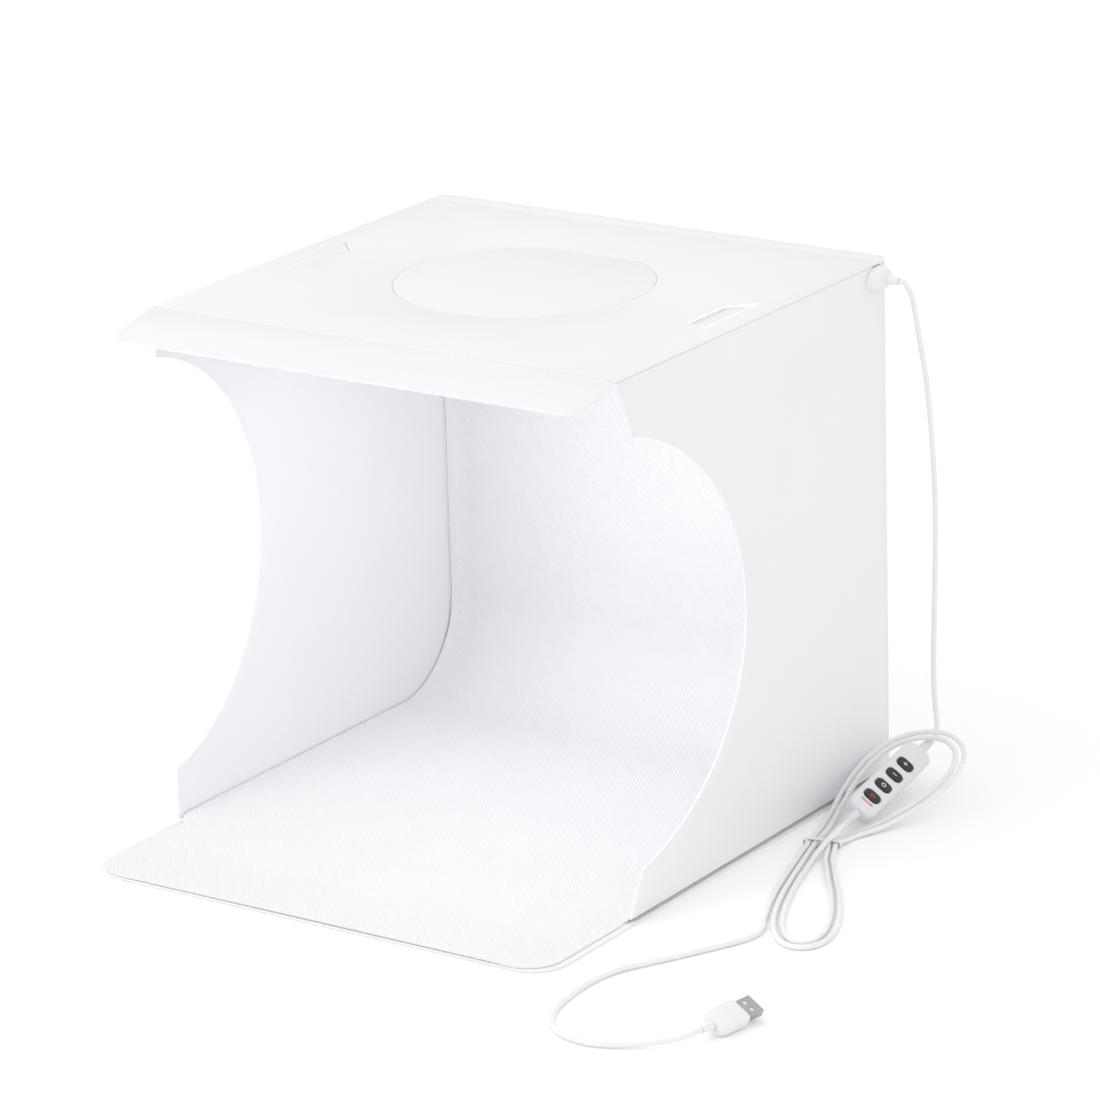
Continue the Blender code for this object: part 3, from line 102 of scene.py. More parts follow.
WEB_HALF_WIDTH = 0.0007
WEB_HALF_THICKNESS = 0.00035

# Cloth
CLOTH = 0.0008
CLOTH_TOP = 0.2908
CLOTH_BACK = 0.1750
CLOTH_BOTTOM = 0.0050
SWEEP_RADIUS = 0.055
CLOTH_HALF_WIDTH = 0.1484
CORNER_CURL = 0.0032
CORNER_CURL_WIDTH = 0.009
FLOOR_CLOTH_HALF_WIDTH = 0.1482
FRONT_CLOTH_HALF_WIDTH = 0.1480
CLOTH_CORNER_START = FLAP_LENGTH - GAP - FLAP_CORNER_RADIUS
CLOTH_FLAP_RUN = 0.0612
CLOTH_SETTLE = 0.0458
CLOTH_SETTLED_Z = 0.0020
CLOTH_WAVE = 0.0005
FOLD_NOTCH = 0.0018
EDGE_DROP_RUN = 0.0045
EDGE_DROP_WIDTH = 0.013
RIM_Z = 0.0014
FOLD_NOTCH_AHEAD = 0.001
FOLD_NOTCH_SPREAD = 0.0022
FOLD_RUN = 0.0035
NARROWING_ABOVE_SWEEP = 0.04
NARROWING_RUN = 0.06
WAVES_ACROSS = 11
WAVES_ALONG = 9
WAVE_OFFSET = 0.3
WAVE_EDGE_SHARE = 0.2
WAVE_EDGE_RUN = 0.02

# Cord and its fittings; a profile is a row of (spread or inset, level), or of (distance, radius)
ALONG_X = Vector((1, 0, 0))
CORD_RADIUS = 0.0015
CORD_STRAIGHT = 0.0030
CORD_SPACING = 0.003
OUTLET_Y = 0.1635
OUTLET_Z = 0.2915
OUTLET_END_X = 0.1645
OUTLET_FACE_X = 0.1503
OUTLET_DOME_LENGTH = 0.0068
OUTLET_DOME_RISE = 0.0043
OUTLET_NECK_RADIUS = 0.0026
OUTLET_NECK_TAPER = 0.0005
OUTLET_STRETCH = 0.75
OUTLET_COLLAR = (
    (0.1463, 0.0054, 1), (0.1466, 0.0058, 1), (0.1482, 0.0058, 1), (0.1485, 0.0056, 1), (0.1485, 0.0036, 1),
    (OUTLET_FACE_X, 0.0036, 1), (OUTLET_FACE_X, 0.0069, 1 + OUTLET_STRETCH),
)
CONTROLLER_LOW = Vector((0.1821, 0.0824, 0.0107))
CONTROLLER_HIGH = Vector((0.1776, 0.1587, 0.0209))
CONTROLLER_ROLL = math.radians(38.0)
CONTROLLER_WIDTH = 0.0174
CONTROLLER_HEIGHT = 0.0095
CONTROLLER_CORNER = 0.0060
CONTROLLER_ROUND = 0.0024
CONTROLLER_SEAM = ((0, 0.0003), (0.0002, 0.0001))
BUTTON_ACROSS = 0.0104
BUTTON_ALONG = 0.0080
BUTTON_CORNER = 0.0032
BUTTON_PROUD = 0.0009
BUTTON_PITCH = 0.0134
BUTTON_ROW_SHIFT = -0.0043
SURROUND_PROFILE = ((0.0004, -0.0003), (0.0004, 0.0002), (0.0006, 0.0004), (0.0010, 0.0004),
                    (0.0013, 0.0001), (0.0013, -0.0003))
CAP_PROFILE = ((0, -0.0010), (0, 0.00036), (-0.00008, 0.00054), (-0.0003, 0.00072), (-0.0007, 0.000837),
               (-0.0014, BUTTON_PROUD))
SIGN_BOTTOM = -0.00005
SIGN_TOP = 0.00006
# A sign has rings (radius, half stroke, start, sweep) and bars (half x, half y, rise)
SIGNS = {
    "power_button": ([(0.00125, 0.00022, 125, 290)], [(0.00022, 0.00075, 0.0007)]),
    "mode_button": ([(0.0012, 0.00024, 0, 360)], []),
    "dimmer_button": ([], [(0.0015, 0.00026, 0)]),
    "brighter_button": ([], [(0.0015, 0.00026, 0), (0.00026, 0.0015, 0)]),
}
WORDS_BELOW_BUTTONS = 0.0066
WORDS_CLEARANCE = 0.00002
RELIEF_LENGTH = 0.0150
RELIEF_ROOT_RADIUS = 0.0030
RELIEF_TIP_RADIUS = 0.0021
RELIEF_RIBS = 4
RELIEF_FIRST_SHARE = 0.7
RELIEF_GROOVE = 0.0005
RELIEF_GROOVE_PROFILE = ((0, 0), (0.06, 0.6), (0.18, 1), (0.42, 1), (0.54, 0.6), (0.6, 0))
RELIEF_SEGMENTS = 28
HANK_TIE = Vector((0.1793, 0.0529))
HANK_LOWER_END = Vector((0.2475, -0.0759))
HANK_UPPER_END = Vector((0.1906, 0.1638))
HANK_HALF_SPAN = (HANK_UPPER_END - HANK_LOWER_END) / 2
HANK_START_TURN = 0.042
HANK_TURNS = 2.095
HANK_POINTS_PER_TURN = 48
HANK_ANGLE_STEP = 0.01
HANK_BEND_SHARE = 0.144
HANK_FLARE_SHARE = 0.208
HANK_LOWER_SWELL = 0.0288
HANK_UPPER_SWELL = 0.0530
HANK_WAIST = 0.0009
HANK_END_SHARE = 0.20
HANK_WAIST_PITCH = 0.00375
HANK_LOBE_PITCH = 0.0050
HANK_TIE_RISE = 0.0010
HANK_SLOPE_START = 0.026
HANK_SLOPE_SHARE = 0.35
HANK_SLOPE_EASE = 0.020
TIE_WIDTH = 0.0030
TIE_RISE_WIDTHS = 4
TIE_SIDE_GAP = 0.0016
TIE_PROFILE = ((0, -0.5), (0.0002, -0.55), (0.0005, -0.5), (0.0005, 0.5), (0.0002, 0.55), (0, 0.5))
ROUND_END_SPARE = 0.00001
PLUG_BACK = Vector((0.2651, -0.2079, 0.0064))
PLUG_TURN = math.radians(-9.5)
PLUG_ROLL = math.radians(27.0)
PLUG_NECK_PROFILE = ((0, 0.0017), (0.0003, 0.0019), (0.0076, 0.0027))
PLUG_GRIP_SIZE = (0.0078, 0.0038, 0.0022)
PLUG_GRIP_PROFILE = ((0.0030, 0.0079), (0.0024, 0.0081), (0.0014, 0.0087), (0.0007, 0.0098), (0.0002, 0.0113),
                     (0, 0.0129), (0, 0.0271), (0.0001, 0.0277), (0.0004, 0.0282), (0.0008, 0.0285))
PLUG_METAL_SIZE = (0.0060, 0.00225, 0.0006)
PLUG_METAL_PROFILE = ((0, 0.0288), (0, 0.0402), (0.0001, 0.0405), (0.0002, 0.0406), (0.00035, 0.0405),
                      (0.00035, 0.0288))
PLUG_WINDOW_X = 0.0026
PLUG_WINDOW_Y = 0.0344
PLUG_WINDOW_CORNER = 0.0002
# Half size, low and high end of a block
PLUG_WINDOW = (0.00115, 0.0014, 0.0040)
PLUG_PAD = (0.00145, 0.0012, 0.00195)
TERMINAL_END_RADIUS = 0.1063
TERMINAL_ANGLE = math.radians(50.0)
INNER_LEAD_LENGTH = 0.0145
INNER_LEAD_START_X = 0.1315
INNER_LEAD_EARLY = 0.004
LEAD_SPACING = 0.002
LEAD_ROUTE_SHARES = ((0.14, 0.235, 0.0), (0.333, 0.433, 0.0), (0.525, 0.604, 0.04), (0.70, 0.79, 0.36),
                     (0.857, 0.934, 0.82))
DROP_ROUTE = (
    (0.1688, 0.1639, 0.2896), (0.1706, 0.1652, 0.2855), (0.1710, 0.1676, 0.2790), (0.1708, 0.1712, 0.2680),
    (0.1710, 0.1754, 0.2520), (0.1718, 0.1797, 0.2320), (0.1727, 0.1829, 0.2050), (0.1735, 0.1852, 0.1690),
    (0.1732, 0.1862, 0.1360), (0.1722, 0.1864, 0.1000), (0.1712, 0.1870, 0.0720), (0.1710, 0.1872, 0.0530),
    (0.1720, 0.1868, 0.0400), (0.1740, 0.1852, 0.0310), (0.1755, 0.1820, 0.0256),
)
LEAD_IN_POINTS = (
    (0.1836, 0.0575, 0.0075), (0.1840, 0.0505, 0.0067), (0.1842, 0.0435, 0.0049), (0.1846, 0.0365, 0.0030),
    (0.1862, 0.0290, 0.0019), (0.1887, 0.0205, 0.0015), (0.1913, 0.0125, 0.0015),
)
TAIL_HEIGHT = 0.0016
TAIL_FLAT_ROUTE = (
    (0.2093, -0.0585), (0.2133, -0.0660), (0.2156, -0.0735), (0.2152, -0.0820), (0.2112, -0.0925),
    (0.2048, -0.1055), (0.1982, -0.1183), (0.1910, -0.1320), (0.1838, -0.1450), (0.1785, -0.1580),
    (0.1762, -0.1740), (0.1768, -0.1930), (0.1806, -0.2130), (0.1884, -0.2285), (0.2010, -0.2385),
    (0.2160, -0.2415),
)
TAIL_RISING_ROUTE = (
    (0.2300, -0.2380, 0.0017), (0.2415, -0.2315, 0.0022), (0.2500, -0.2265, 0.0031),
    (0.2570, -0.2216, 0.0043), (0.2620, -0.2165, 0.0056),
)

# Stage: each light's name, place, aim, size and power
FLOOR_RADIUS = 6.0
FLOOR_LEVELS = (-0.010, -0.0002)
FLOOR_GLOW = 0.10
WORLD_LIGHT = 0.95
LIGHTS = (
    ("top light", (-0.9, -0.9, 2.2), (0, 0, 0.1), 1.6, 3.5),
    ("front light", (-1.1, -2.2, 0.75), (0, 0.1, 0.12), 1.2, 8),
    ("side light", (2.2, -0.5, 0.18), (0.1, 0.05, 0.06), 1.0, 1.9),
    ("inside light", (0.03, Y_MIDDLE - 0.03, 0.286), (0.03, Y_MIDDLE - 0.03, 0), 0.18, 0.215),
)


def mix(start, end, share):
    """Value at a share of the way from one value to another."""
    return start + (end - start) * share


def spaced(start, end, steps):
    """Evenly spaced values from start to end, both counted."""
    return [mix(start, end, step / steps) for step in range(steps + 1)]


def arc(radius, start, sweep, steps):
    """Points (x, y) on a circle from a start over a sweep in degrees, both ends counted."""
    angles = [math.radians(angle) for angle in spaced(start, start + sweep, steps)]
    return [(radius * math.cos(angle), radius * math.sin(angle)) for angle in angles]


def placed(place, *turns):
    """Matrix of a place and of turns about its axes."""
    matrix = Matrix.Translation(place)
    for angle, axis in turns:
        matrix = matrix @ Matrix.Rotation(angle, 4, axis)
    return matrix


def add_object(name, data):
    """New object in the scene."""
    made = bpy.data.objects.new(name, data)
    bpy.context.scene.collection.objects.link(made)
    return made


# Camera at the photograph's angle

def make_camera():
    """Camera turned about the point it looks at, then moved back from it."""
    azimuth = math.radians(34.33)
    elevation = math.radians(18.07)
    roll = math.radians(-1.66)
    shift_and_distance = (0.0028, -0.0074, 3.080)
    camera = add_object("camera", bpy.data.cameras.new("camera"))
    camera.data.lens = 181.44
    camera.data.sensor_width = 36
    turned = placed((0, 0.0535, 0.150), (azimuth, "Z"), (math.pi / 2 - elevation, "X"), (roll, "Z"))
    camera.matrix_world = turned @ placed(shift_and_distance)
    bpy.context.scene.camera = camera


# Materials

class Recipe:
    """A Principled material with helpers that add texture nodes to it."""

    def __init__(self, name, colour, roughness, **settings):
        self.material = bpy.data.materials.new(name)
        self.material.use_nodes = True
        self.tree = self.material.node_tree
        self.shader = self.tree.nodes["Principled BSDF"]
        self.colour = colour
        self.normal = None
        self.shader.inputs["Base Color"].default_value = (*colour, 1)
        self.shader.inputs["Roughness"].default_value = roughness
        for key, value in settings.items():
            self.shader.inputs[key.replace("_", " ")].default_value = value
        self.place = self.add("ShaderNodeTexCoord").outputs["Object"]

    def add(self, kind, links=None, **inputs):
        """Node with some inputs set and some linked."""
        node = self.tree.nodes.new(kind)
        for key, value in inputs.items():
            node.inputs[key].default_value = value
        for key, source in (links or {}).items():
            self.tree.links.new(source, node.inputs[key])
        return node

    def scaled(self, scale, turn=(0, 0, 0), source=None):
        """Coordinates stretched by a scale on each axis."""
        node = self.add("ShaderNodeMapping", {"Vector": source or self.place})
        node.inputs["Scale"].default_value = scale
        node.inputs["Rotation"].default_value = turn
        return node.outputs["Vector"]

    def noise(self, scale, detail=2, source=None):
        """Noise value over the coordinates."""
        node = self.add("ShaderNodeTexNoise", {"Vector": source or self.place}, Scale=scale, Detail=detail)
        return node.outputs["Fac"]

    def math(self, operation, first, second):
        """Sum, product or the like of two values."""
        node = self.tree.nodes.new("ShaderNodeMath")
        node.operation = operation
        for index, value in enumerate((first, second)):
            if isinstance(value, (int, float)):
                node.inputs[index].default_value = value
            else:
                self.tree.links.new(value, node.inputs[index])
        return node.outputs[0]

    def tint(self, value, dark, light, low=0.3, high=0.7):
        """Colour that goes from a darker to a lighter share of the base as the value rises."""
        ramp = self.tree.nodes.new("ShaderNodeValToRGB")
        ramp.color_ramp.elements[0].position = low
        ramp.color_ramp.elements[1].position = high
        ramp.color_ramp.elements[0].color = (*[c * dark for c in self.colour], 1)
        ramp.color_ramp.elements[1].color = (*[min(1.0, c * light) for c in self.colour], 1)
        self.tree.links.new(value, ramp.inputs["Fac"])
        self.tree.links.new(ramp.outputs["Color"], self.shader.inputs["Base Color"])

    def bump(self, value, height, strength=1.0):
        """Raise the surface by a value, on top of the bumps added before."""
        node = self.add("ShaderNodeBump", {"Height": value}, Strength=strength, Distance=height)
        if self.normal:
            self.tree.links.new(self.normal, node.inputs["Normal"])
        self.normal = node.outputs["Normal"]
        self.tree.links.new(self.normal, self.shader.inputs["Normal"])

    def rough(self, value, low, high):
        """Roughness that follows a value."""
        node = self.add("ShaderNodeMapRange", {"Value": value})
        node.inputs["To Min"].default_value = low
        node.inputs["To Max"].default_value = high
        self.tree.links.new(node.outputs["Result"], self.shader.inputs["Roughness"])


def sheet_plastic(name, colour, band=0.0, glow=0.0):
    """Matte sheet with fine grain and faint clouds; it may have soft bending bands, or a painted glow though
    it is no lamp.
    """
    recipe = Recipe(name, colour, 0.50, IOR=1.46, Emission_Color=(1, 1, 1, 1), Emission_Strength=glow)
    clouds = recipe.noise(9, 3)
    recipe.tint(clouds, 0.985, 1.008)
    recipe.rough(recipe.noise(60, 3), 0.44, 0.56)
    if band:
        recipe.bump(recipe.noise(1, 1, recipe.scaled((22, 22, 1.5))), 0.0030, band)
    recipe.bump(recipe.noise(1700, 3), 0.00004, 0.6)
    return recipe.material


def moulded_plastic(name, colour, roughness=0.40, grain=900):
    """Moulded or extruded plastic with a fine texture and faint handling marks."""
    recipe = Recipe(name, colour, roughness)
    recipe.tint(recipe.noise(70, 3), 0.97, 1.01)
    recipe.rough(recipe.noise(240, 3), roughness - 0.06, roughness + 0.08)
    recipe.bump(recipe.noise(grain, 3), 0.00006, 0.5)
    return recipe.material


def twill_cloth(name, colour):
    """Fine diagonal twill; its threads follow the cloth's own run, kept as an attribute of the mesh."""
    recipe = Recipe(name, colour, 0.88, Sheen_Weight=0.25, Sheen_Roughness=0.45)
    run = recipe.tree.nodes.new("ShaderNodeAttribute")
    run.attribute_name = "cloth_run"
    along = run.outputs["Vector"]
    across = recipe.scaled((1, 1, 1), (0, 0, math.radians(40)), along)
    twill = recipe.add("ShaderNodeTexWave", {"Vector": across}, Scale=180.0, Distortion=0.30, Detail=1.0)
    threads = recipe.add("ShaderNodeTexWave", {"Vector": along}, Scale=620.0, Distortion=0.25, Detail=1.0)
    weave = recipe.math("ADD", twill.outputs["Fac"], recipe.math("MULTIPLY", threads.outputs["Fac"], 0.45))
    clouds = recipe.math("MULTIPLY", recipe.noise(14, 4), 0.35)
    shade = recipe.math("ADD", recipe.math("MULTIPLY", weave, 0.55), clouds)
    recipe.tint(shade, 0.916, 1.014, 0.15, 0.95)
    recipe.bump(recipe.noise(18, 2), 0.0012, 0.30)
    recipe.bump(weave, 0.00022, 0.55)
    return recipe.material


def pile(name, colour, scale, height):
    """Hook or loop tape."""
    recipe = Recipe(name, colour, 0.9)
    cells = recipe.add("ShaderNodeTexVoronoi", {"Vector": recipe.place}, Scale=scale).outputs["Distance"]
    recipe.tint(cells, 1.03, 0.80, 0.0, 0.8)
    recipe.bump(cells, height, 0.8)
    return recipe.material


def metal(name, colour, roughness, along):
    """Drawn metal with fine lines along one axis."""
    recipe = Recipe(name, colour, roughness, Metallic=1.0)
    lines = recipe.noise(1, 4, recipe.scaled(along))
    recipe.tint(lines, 0.86, 1.10)
    recipe.rough(recipe.noise(300, 3), roughness - 0.05, roughness + 0.12)
    recipe.bump(lines, 0.00003, 0.5)
    return recipe.material


def milky(name, colour):
    """Milky diffuser."""
    recipe = Recipe(name, colour, 0.42, Subsurface_Weight=0.35, Subsurface_Scale=0.002)
    recipe.tint(recipe.noise(50, 2), 0.975, 1.01)
    recipe.bump(recipe.noise(1100, 2), 0.00004, 0.5)
    return recipe.material


PANEL = sheet_plastic("panel plastic", (0.893, 0.893, 0.915))
BENT_PANEL = sheet_plastic("bent panel plastic", (0.893, 0.893, 0.915), band=0.22)
# The cut edges are painted a little lighter than the panel: a painted highlight.
CUT_EDGE_HIGHLIGHT = sheet_plastic("cut edge", (0.905, 0.905, 0.922))
# The slot edges are painted lighter still and glow: painted highlight and painted glow.
SLOT_EDGE_PAINTED_GLOW = sheet_plastic("slot edge painted glow", (0.960, 0.960, 0.965), glow=SLOT_GLOW)
# The right tab's face is painted darker than the panel: painted shade on the tab pressed down into its slot.
TAB_PANEL_PAINTED_SHADE = sheet_plastic("tab plastic painted shade", (0.865, 0.865, 0.893))
FABRIC = twill_cloth("twill", (0.902, 0.902, 0.918))
CORD = moulded_plastic("cord sheath", (0.890, 0.890, 0.900), 0.44)
WHITE = moulded_plastic("white moulding", (0.880, 0.880, 0.890))
GREY = moulded_plastic("controller plastic", (0.790, 0.785, 0.810))
PALE = moulded_plastic("button surround", (0.820, 0.820, 0.835))
BLACK = moulded_plastic("button rubber", (0.020, 0.020, 0.022), 0.55)
RED = moulded_plastic("red mark", (0.620, 0.055, 0.050), 0.35)
TIE = moulded_plastic("tie", (0.860, 0.860, 0.870), 0.35, 500)
CIRCUIT = moulded_plastic("circuit board", (0.035, 0.180, 0.085))
LAMP_BOARD = moulded_plastic("lamp board", (0.840, 0.850, 0.840), 0.35)
LAMP = moulded_plastic("lamp chip", (0.860, 0.720, 0.240), 0.35)
FOAM = pile("foam tape", (0.840, 0.840, 0.820), 900, 0.0002)
HOOK = pile("hook tape", (0.780, 0.780, 0.790), 700, 0.0005)
LOOP = pile("loop tape", (0.840, 0.840, 0.850), 1400, 0.0004)
DIFFUSER = milky("diffuser", (0.900, 0.905, 0.915))
STEEL = metal("plug metal", (0.450, 0.460, 0.435), 0.33, (900, 40, 900))
GOLD = metal("contacts", (0.830, 0.620, 0.230), 0.28, (900, 60, 900))
INSULATOR = moulded_plastic("plug insulator", (0.840, 0.840, 0.845), 0.45)


# Mesh helpers

def shade(mesh, sharp):
    """Smooth shading, broken where the faces meet at more than an angle in degrees."""
    mesh.shade_smooth()
    mesh.set_sharp_from_angle(angle=math.radians(sharp))


def place_mesh(name, bm, materials, smooth=True, matrix=None, sharp=35.0):
    """Turn a bmesh into a named object at the frame's origin."""
    if matrix:
        bm.transform(matrix)
    bmesh.ops.recalc_face_normals(bm, faces=bm.faces)
    mesh = bpy.data.meshes.new(name)
    bm.to_mesh(mesh)
    bm.free()
    for material in materials:
        mesh.materials.append(material)
    if smooth:
        shade(mesh, sharp)
    return add_object(name, mesh)


def hand_over(piece, body, slot, *nodes):
    """Ride a piece on a body and let it stand for CAD nodes; its slot argument is not used."""
    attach(piece, body)
    if nodes:
        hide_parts(*nodes)
    return piece


def apply_modifiers(piece):
    """Keep what the modifiers make and drop them."""
    depsgraph = bpy.context.evaluated_depsgraph_get()
    depsgraph.update()
    mesh = bpy.data.meshes.new_from_object(piece.evaluated_get(depsgraph))
    piece.modifiers.clear()
    old = piece.data
    piece.data = mesh
    bpy.data.meshes.remove(old)
    mesh.name = piece.name


def round_edges(piece):
    """Small rounding of a sheet's cut edges."""
    bevel = piece.modifiers.new("edge round", "BEVEL")
    bevel.width = EDGE_ROUND
    bevel.segments = 2
    bevel.limit_method = "ANGLE"
    bevel.angle_limit = math.radians(40.0)
    apply_modifiers(piece)
    shade(piece.data, 50.0)
    return piece


def add_loft(bm, loops, closed=False):
    """Skin a row of loops with equal counts; close it on itself, or cap both ends."""
    rings = [[bm.verts.new(point) for point in loop] for loop in loops]
    count = len(rings[0])
    pairs = list(zip(rings, rings[1:]))
    if closed:
        pairs.append((rings[-1], rings[0]))
    for lower, upper in pairs:
        for index in range(count):
            after = (index + 1) % count
            bm.faces.new((lower[index], lower[after], upper[after], upper[index]))
    if not closed:
        bm.faces.new(rings[0])
        bm.faces.new(rings[-1])


def loft(name, loops, material, closed=False, **placing):
    """Object from one loft."""
    bm = bmesh.new()
    add_loft(bm, loops, closed)
    return place_mesh(name, bm, [material], **placing)


def circle(radius, level, segments, axis="Z"):
    """Points round a circle, square to an axis, at a level along it."""
    points = []
    for first, second in arc(radius, 0, 360, segments)[:-1]:
        places = {"X": (level, first, second), "Y": (second, level, first), "Z": (first, second, level)}
        points.append(places[axis])
    return points


def rounded_rectangle(half_x, half_y, radius, steps=8):
    """Outline of a rectangle with round corners, as (x, y) pairs, counter-clockwise."""
    points = []
    for sign_x, sign_y, start in ((1, 1, 0), (-1, 1, 90), (-1, -1, 180), (1, -1, 270)):
        for x, y in arc(radius, start, 90, steps):
            points.append((sign_x * (half_x - radius) + x, sign_y * (half_y - radius) + y))
    return points


def flap_outline(half_x, length, radius, steps):
    """Outline of a flap that runs from a crease along X towards -Y, with round corners at its far end."""
    corners = rounded_rectangle(half_x, length, radius, steps)
    return [(half_x, -GAP), (-half_x, -GAP)] + [(x, y) for x, y in corners if y < 0]


def at_level(outline, level):
    """Lift an (x, y) outline to a height."""
    return [(x, y, level) for x, y in outline]


def across_y(outline, level):
    """Stand an (x, z) outline square to Y."""
    return [(x, level, z) for x, z in outline]


def plate(name, body, node, rims, top, matrix=None, materials=None):
    """Flat sheet with its upper face at a height; the first rim is its outline and the others are holes."""
    bm = bmesh.new()
    sheets = []
    for level in (top, top - SHEET):
        edges = []
        loops = []
        for rim in rims:
            corners = [bm.verts.new((x, y, level)) for x, y in rim]
            edges += [bm.edges.new((corners[i - 1], corners[i])) for i in range(len(corners))]
            loops.append(corners)
        bmesh.ops.triangle_fill(bm, use_beauty=True, edges=edges)
        sheets.append(loops)
    # Rim faces take the second finish, by default the cut edges' painted highlight.
    for upper, lower in zip(*sheets):
        for i in range(len(upper)):
            face = bm.faces.new((upper[i - 1], upper[i], lower[i], lower[i - 1]))
            face.material_index = 1
    piece = place_mesh(name, bm, materials or [PANEL, CUT_EDGE_HIGHLIGHT], matrix=matrix)
    return hand_over(round_edges(piece), body, "sheet", node)


def thick_grid(name, outer, inner, materials, runs=None, sharp=35.0):
    """Closed solid between two grids of points that match row for row; its rim takes the last material."""
    bm = bmesh.new()
    layer = bm.verts.layers.float_vector.new("cloth_run") if runs else None
    rows = len(outer)
    columns = len(outer[0])
    skins = [[[bm.verts.new(point) for point in row] for row in grid] for grid in (outer, inner)]
    for skin in skins:
        for r in range(rows - 1):
            for c in range(columns - 1):
                bm.faces.new((skin[r][c], skin[r][c + 1], skin[r + 1][c + 1], skin[r + 1][c]))
        for line, run_row in zip(skin, runs or ()):
            for vert, run in zip(line, run_row):
                vert[layer] = run
    rim = [(0, c) for c in range(columns)]
    rim += [(r, columns - 1) for r in range(1, rows)]
    rim += [(rows - 1, c) for c in range(columns - 2, -1, -1)]
    rim += [(r, 0) for r in range(rows - 2, 0, -1)]
    for index, (r, c) in enumerate(rim):
        a, b = rim[index - 1]
        face = bm.faces.new((skins[0][a][b], skins[0][r][c], skins[1][r][c], skins[1][a][b]))
        face.material_index = len(materials) - 1
    return place_mesh(name, bm, materials, sharp=sharp)


def cut(piece, cutter):
    """Take the cutter's shape out of a piece."""
    modifier = piece.modifiers.new("cut", "BOOLEAN")
    modifier.operation = "DIFFERENCE"
    modifier.solver = "EXACT"
    modifier.object = cutter
    apply_modifiers(piece)
    bpy.data.objects.remove(cutter)


# Cords

def through_points(points, spacing):
    """Smooth curve through chosen points at an even spacing, with straight first and last steps."""
    points = [Vector(point) for point in points]
    fine = []
    for i in range(1, len(points) - 2):
        before, start, end, after = points[i - 1:i + 3]
        for t in spaced(0, 1, 24)[:-1]:
            place = 2 * start + (end - before) * t
            place += (2 * before - 5 * start + 4 * end - after) * t * t
            place += (3 * start - before - 3 * end + after) * t ** 3
            fine.append(place / 2)
    fine.append(points[-2])
    lengths = [0.0]
    for a, b in zip(fine, fine[1:]):
        lengths.append(lengths[-1] + (b - a).length)
    count = max(2, round(lengths[-1] / spacing))
    path = [points[0]]
    index = 0
    for target in spaced(0, lengths[-1], count):
        while index < len(lengths) - 2 and lengths[index + 1] < target:
            index += 1
        share = (target - lengths[index]) / (lengths[index + 1] - lengths[index])
        path.append(fine[index].lerp(fine[index + 1], min(1.0, share)))
    path.append(points[-1])
    return path


def cord_curve(name, path):
    """Round cord on one open spline."""
    curve = bpy.data.curves.new(name, "CURVE")
    curve.dimensions = "3D"
    curve.bevel_depth = CORD_RADIUS
    curve.bevel_resolution = 5
    curve.use_fill_caps = True
    spline = curve.splines.new("POLY")
    spline.points.add(len(path) - 1)
    for point, place in zip(spline.points, path):
        point.co = (*place, 1.0)
    spline.use_smooth = True
    curve.materials.append(CORD)
    return add_object(name, curve)


def tube_mesh(name, path):
    """Round cord as a mesh along a path, with its rings turned as little as possible from one to the next."""
    loops = []
    side = Vector((0, 0, 1))
    rim = arc(CORD_RADIUS, 0, 360, 16)[:-1]
    for index, place in enumerate(path):
        ahead = (path[min(index + 1, len(path) - 1)] - path[max(index - 1, 0)]).normalized()
        side = (side - ahead * side.dot(ahead)).normalized()
        other = ahead.cross(side)
        loops.append([place + side * first + other * second for first, second in rim])
    return loft(name, loops, CORD)


def hank_core(angle):
    """The hank's innermost loop: two lobes either side of the tie, on an axis that bends at the tie."""
    bend = (HANK_UPPER_END + HANK_LOWER_END) / 2 - HANK_TIE
    along = -math.cos(angle)
    bent = math.sqrt(along ** 2 + HANK_BEND_SHARE ** 2)
    heading = (HANK_HALF_SPAN + bend * along / bent).normalized()
    beside = Vector((heading.y, -heading.x))
    flare = math.sqrt(along ** 2 + HANK_FLARE_SHARE ** 2) - HANK_FLARE_SHARE
    swell = HANK_LOWER_SWELL if along < 0 else HANK_UPPER_SWELL
    reach = math.sin(angle) * (HANK_WAIST + swell * flare)
    return HANK_TIE + HANK_HALF_SPAN * along + bend * (bent - HANK_BEND_SHARE) + beside * reach


def hank_point(turn):
    """Centre of the hank's cord after a number of turns, counted from the tie towards the lower lobe."""
    angle = 2 * math.pi * (turn - 0.25)
    angle -= HANK_END_SHARE * math.sin(2 * angle)
    ahead = (hank_core(angle + HANK_ANGLE_STEP) - hank_core(angle - HANK_ANGLE_STEP)).normalized()
    pitch = mix(HANK_WAIST_PITCH, HANK_LOBE_PITCH, abs(math.cos(angle)))
    place = hank_core(angle) + Vector((ahead.y, -ahead.x)) * pitch * turn
    rise = HANK_TIE_RISE * math.exp(-((place.y - HANK_TIE.y) / (TIE_WIDTH * TIE_RISE_WIDTHS)) ** 2)
    behind = max(0.0, place.y - HANK_TIE.y - HANK_SLOPE_START)
    rise += HANK_SLOPE_SHARE * behind ** 2 / (behind + HANK_SLOPE_EASE)
    return Vector((place.x, place.y, CORD_RADIUS + rise))


def controller_matrix():
    """The controller's own frame: its Y runs from the low end to the high one and its Z faces up."""
    along = CONTROLLER_HIGH - CONTROLLER_LOW
    y_axis = along.normalized()
    x_axis = y_axis.cross(Vector((0, 0, 1))).normalized()
    z_axis = x_axis.cross(y_axis)
    turn = Matrix((x_axis, y_axis, z_axis)).transposed().to_4x4() @ Matrix.Rotation(CONTROLLER_ROLL, 4, "Y")
    return placed((CONTROLLER_LOW + CONTROLLER_HIGH) / 2) @ turn, along.length / 2


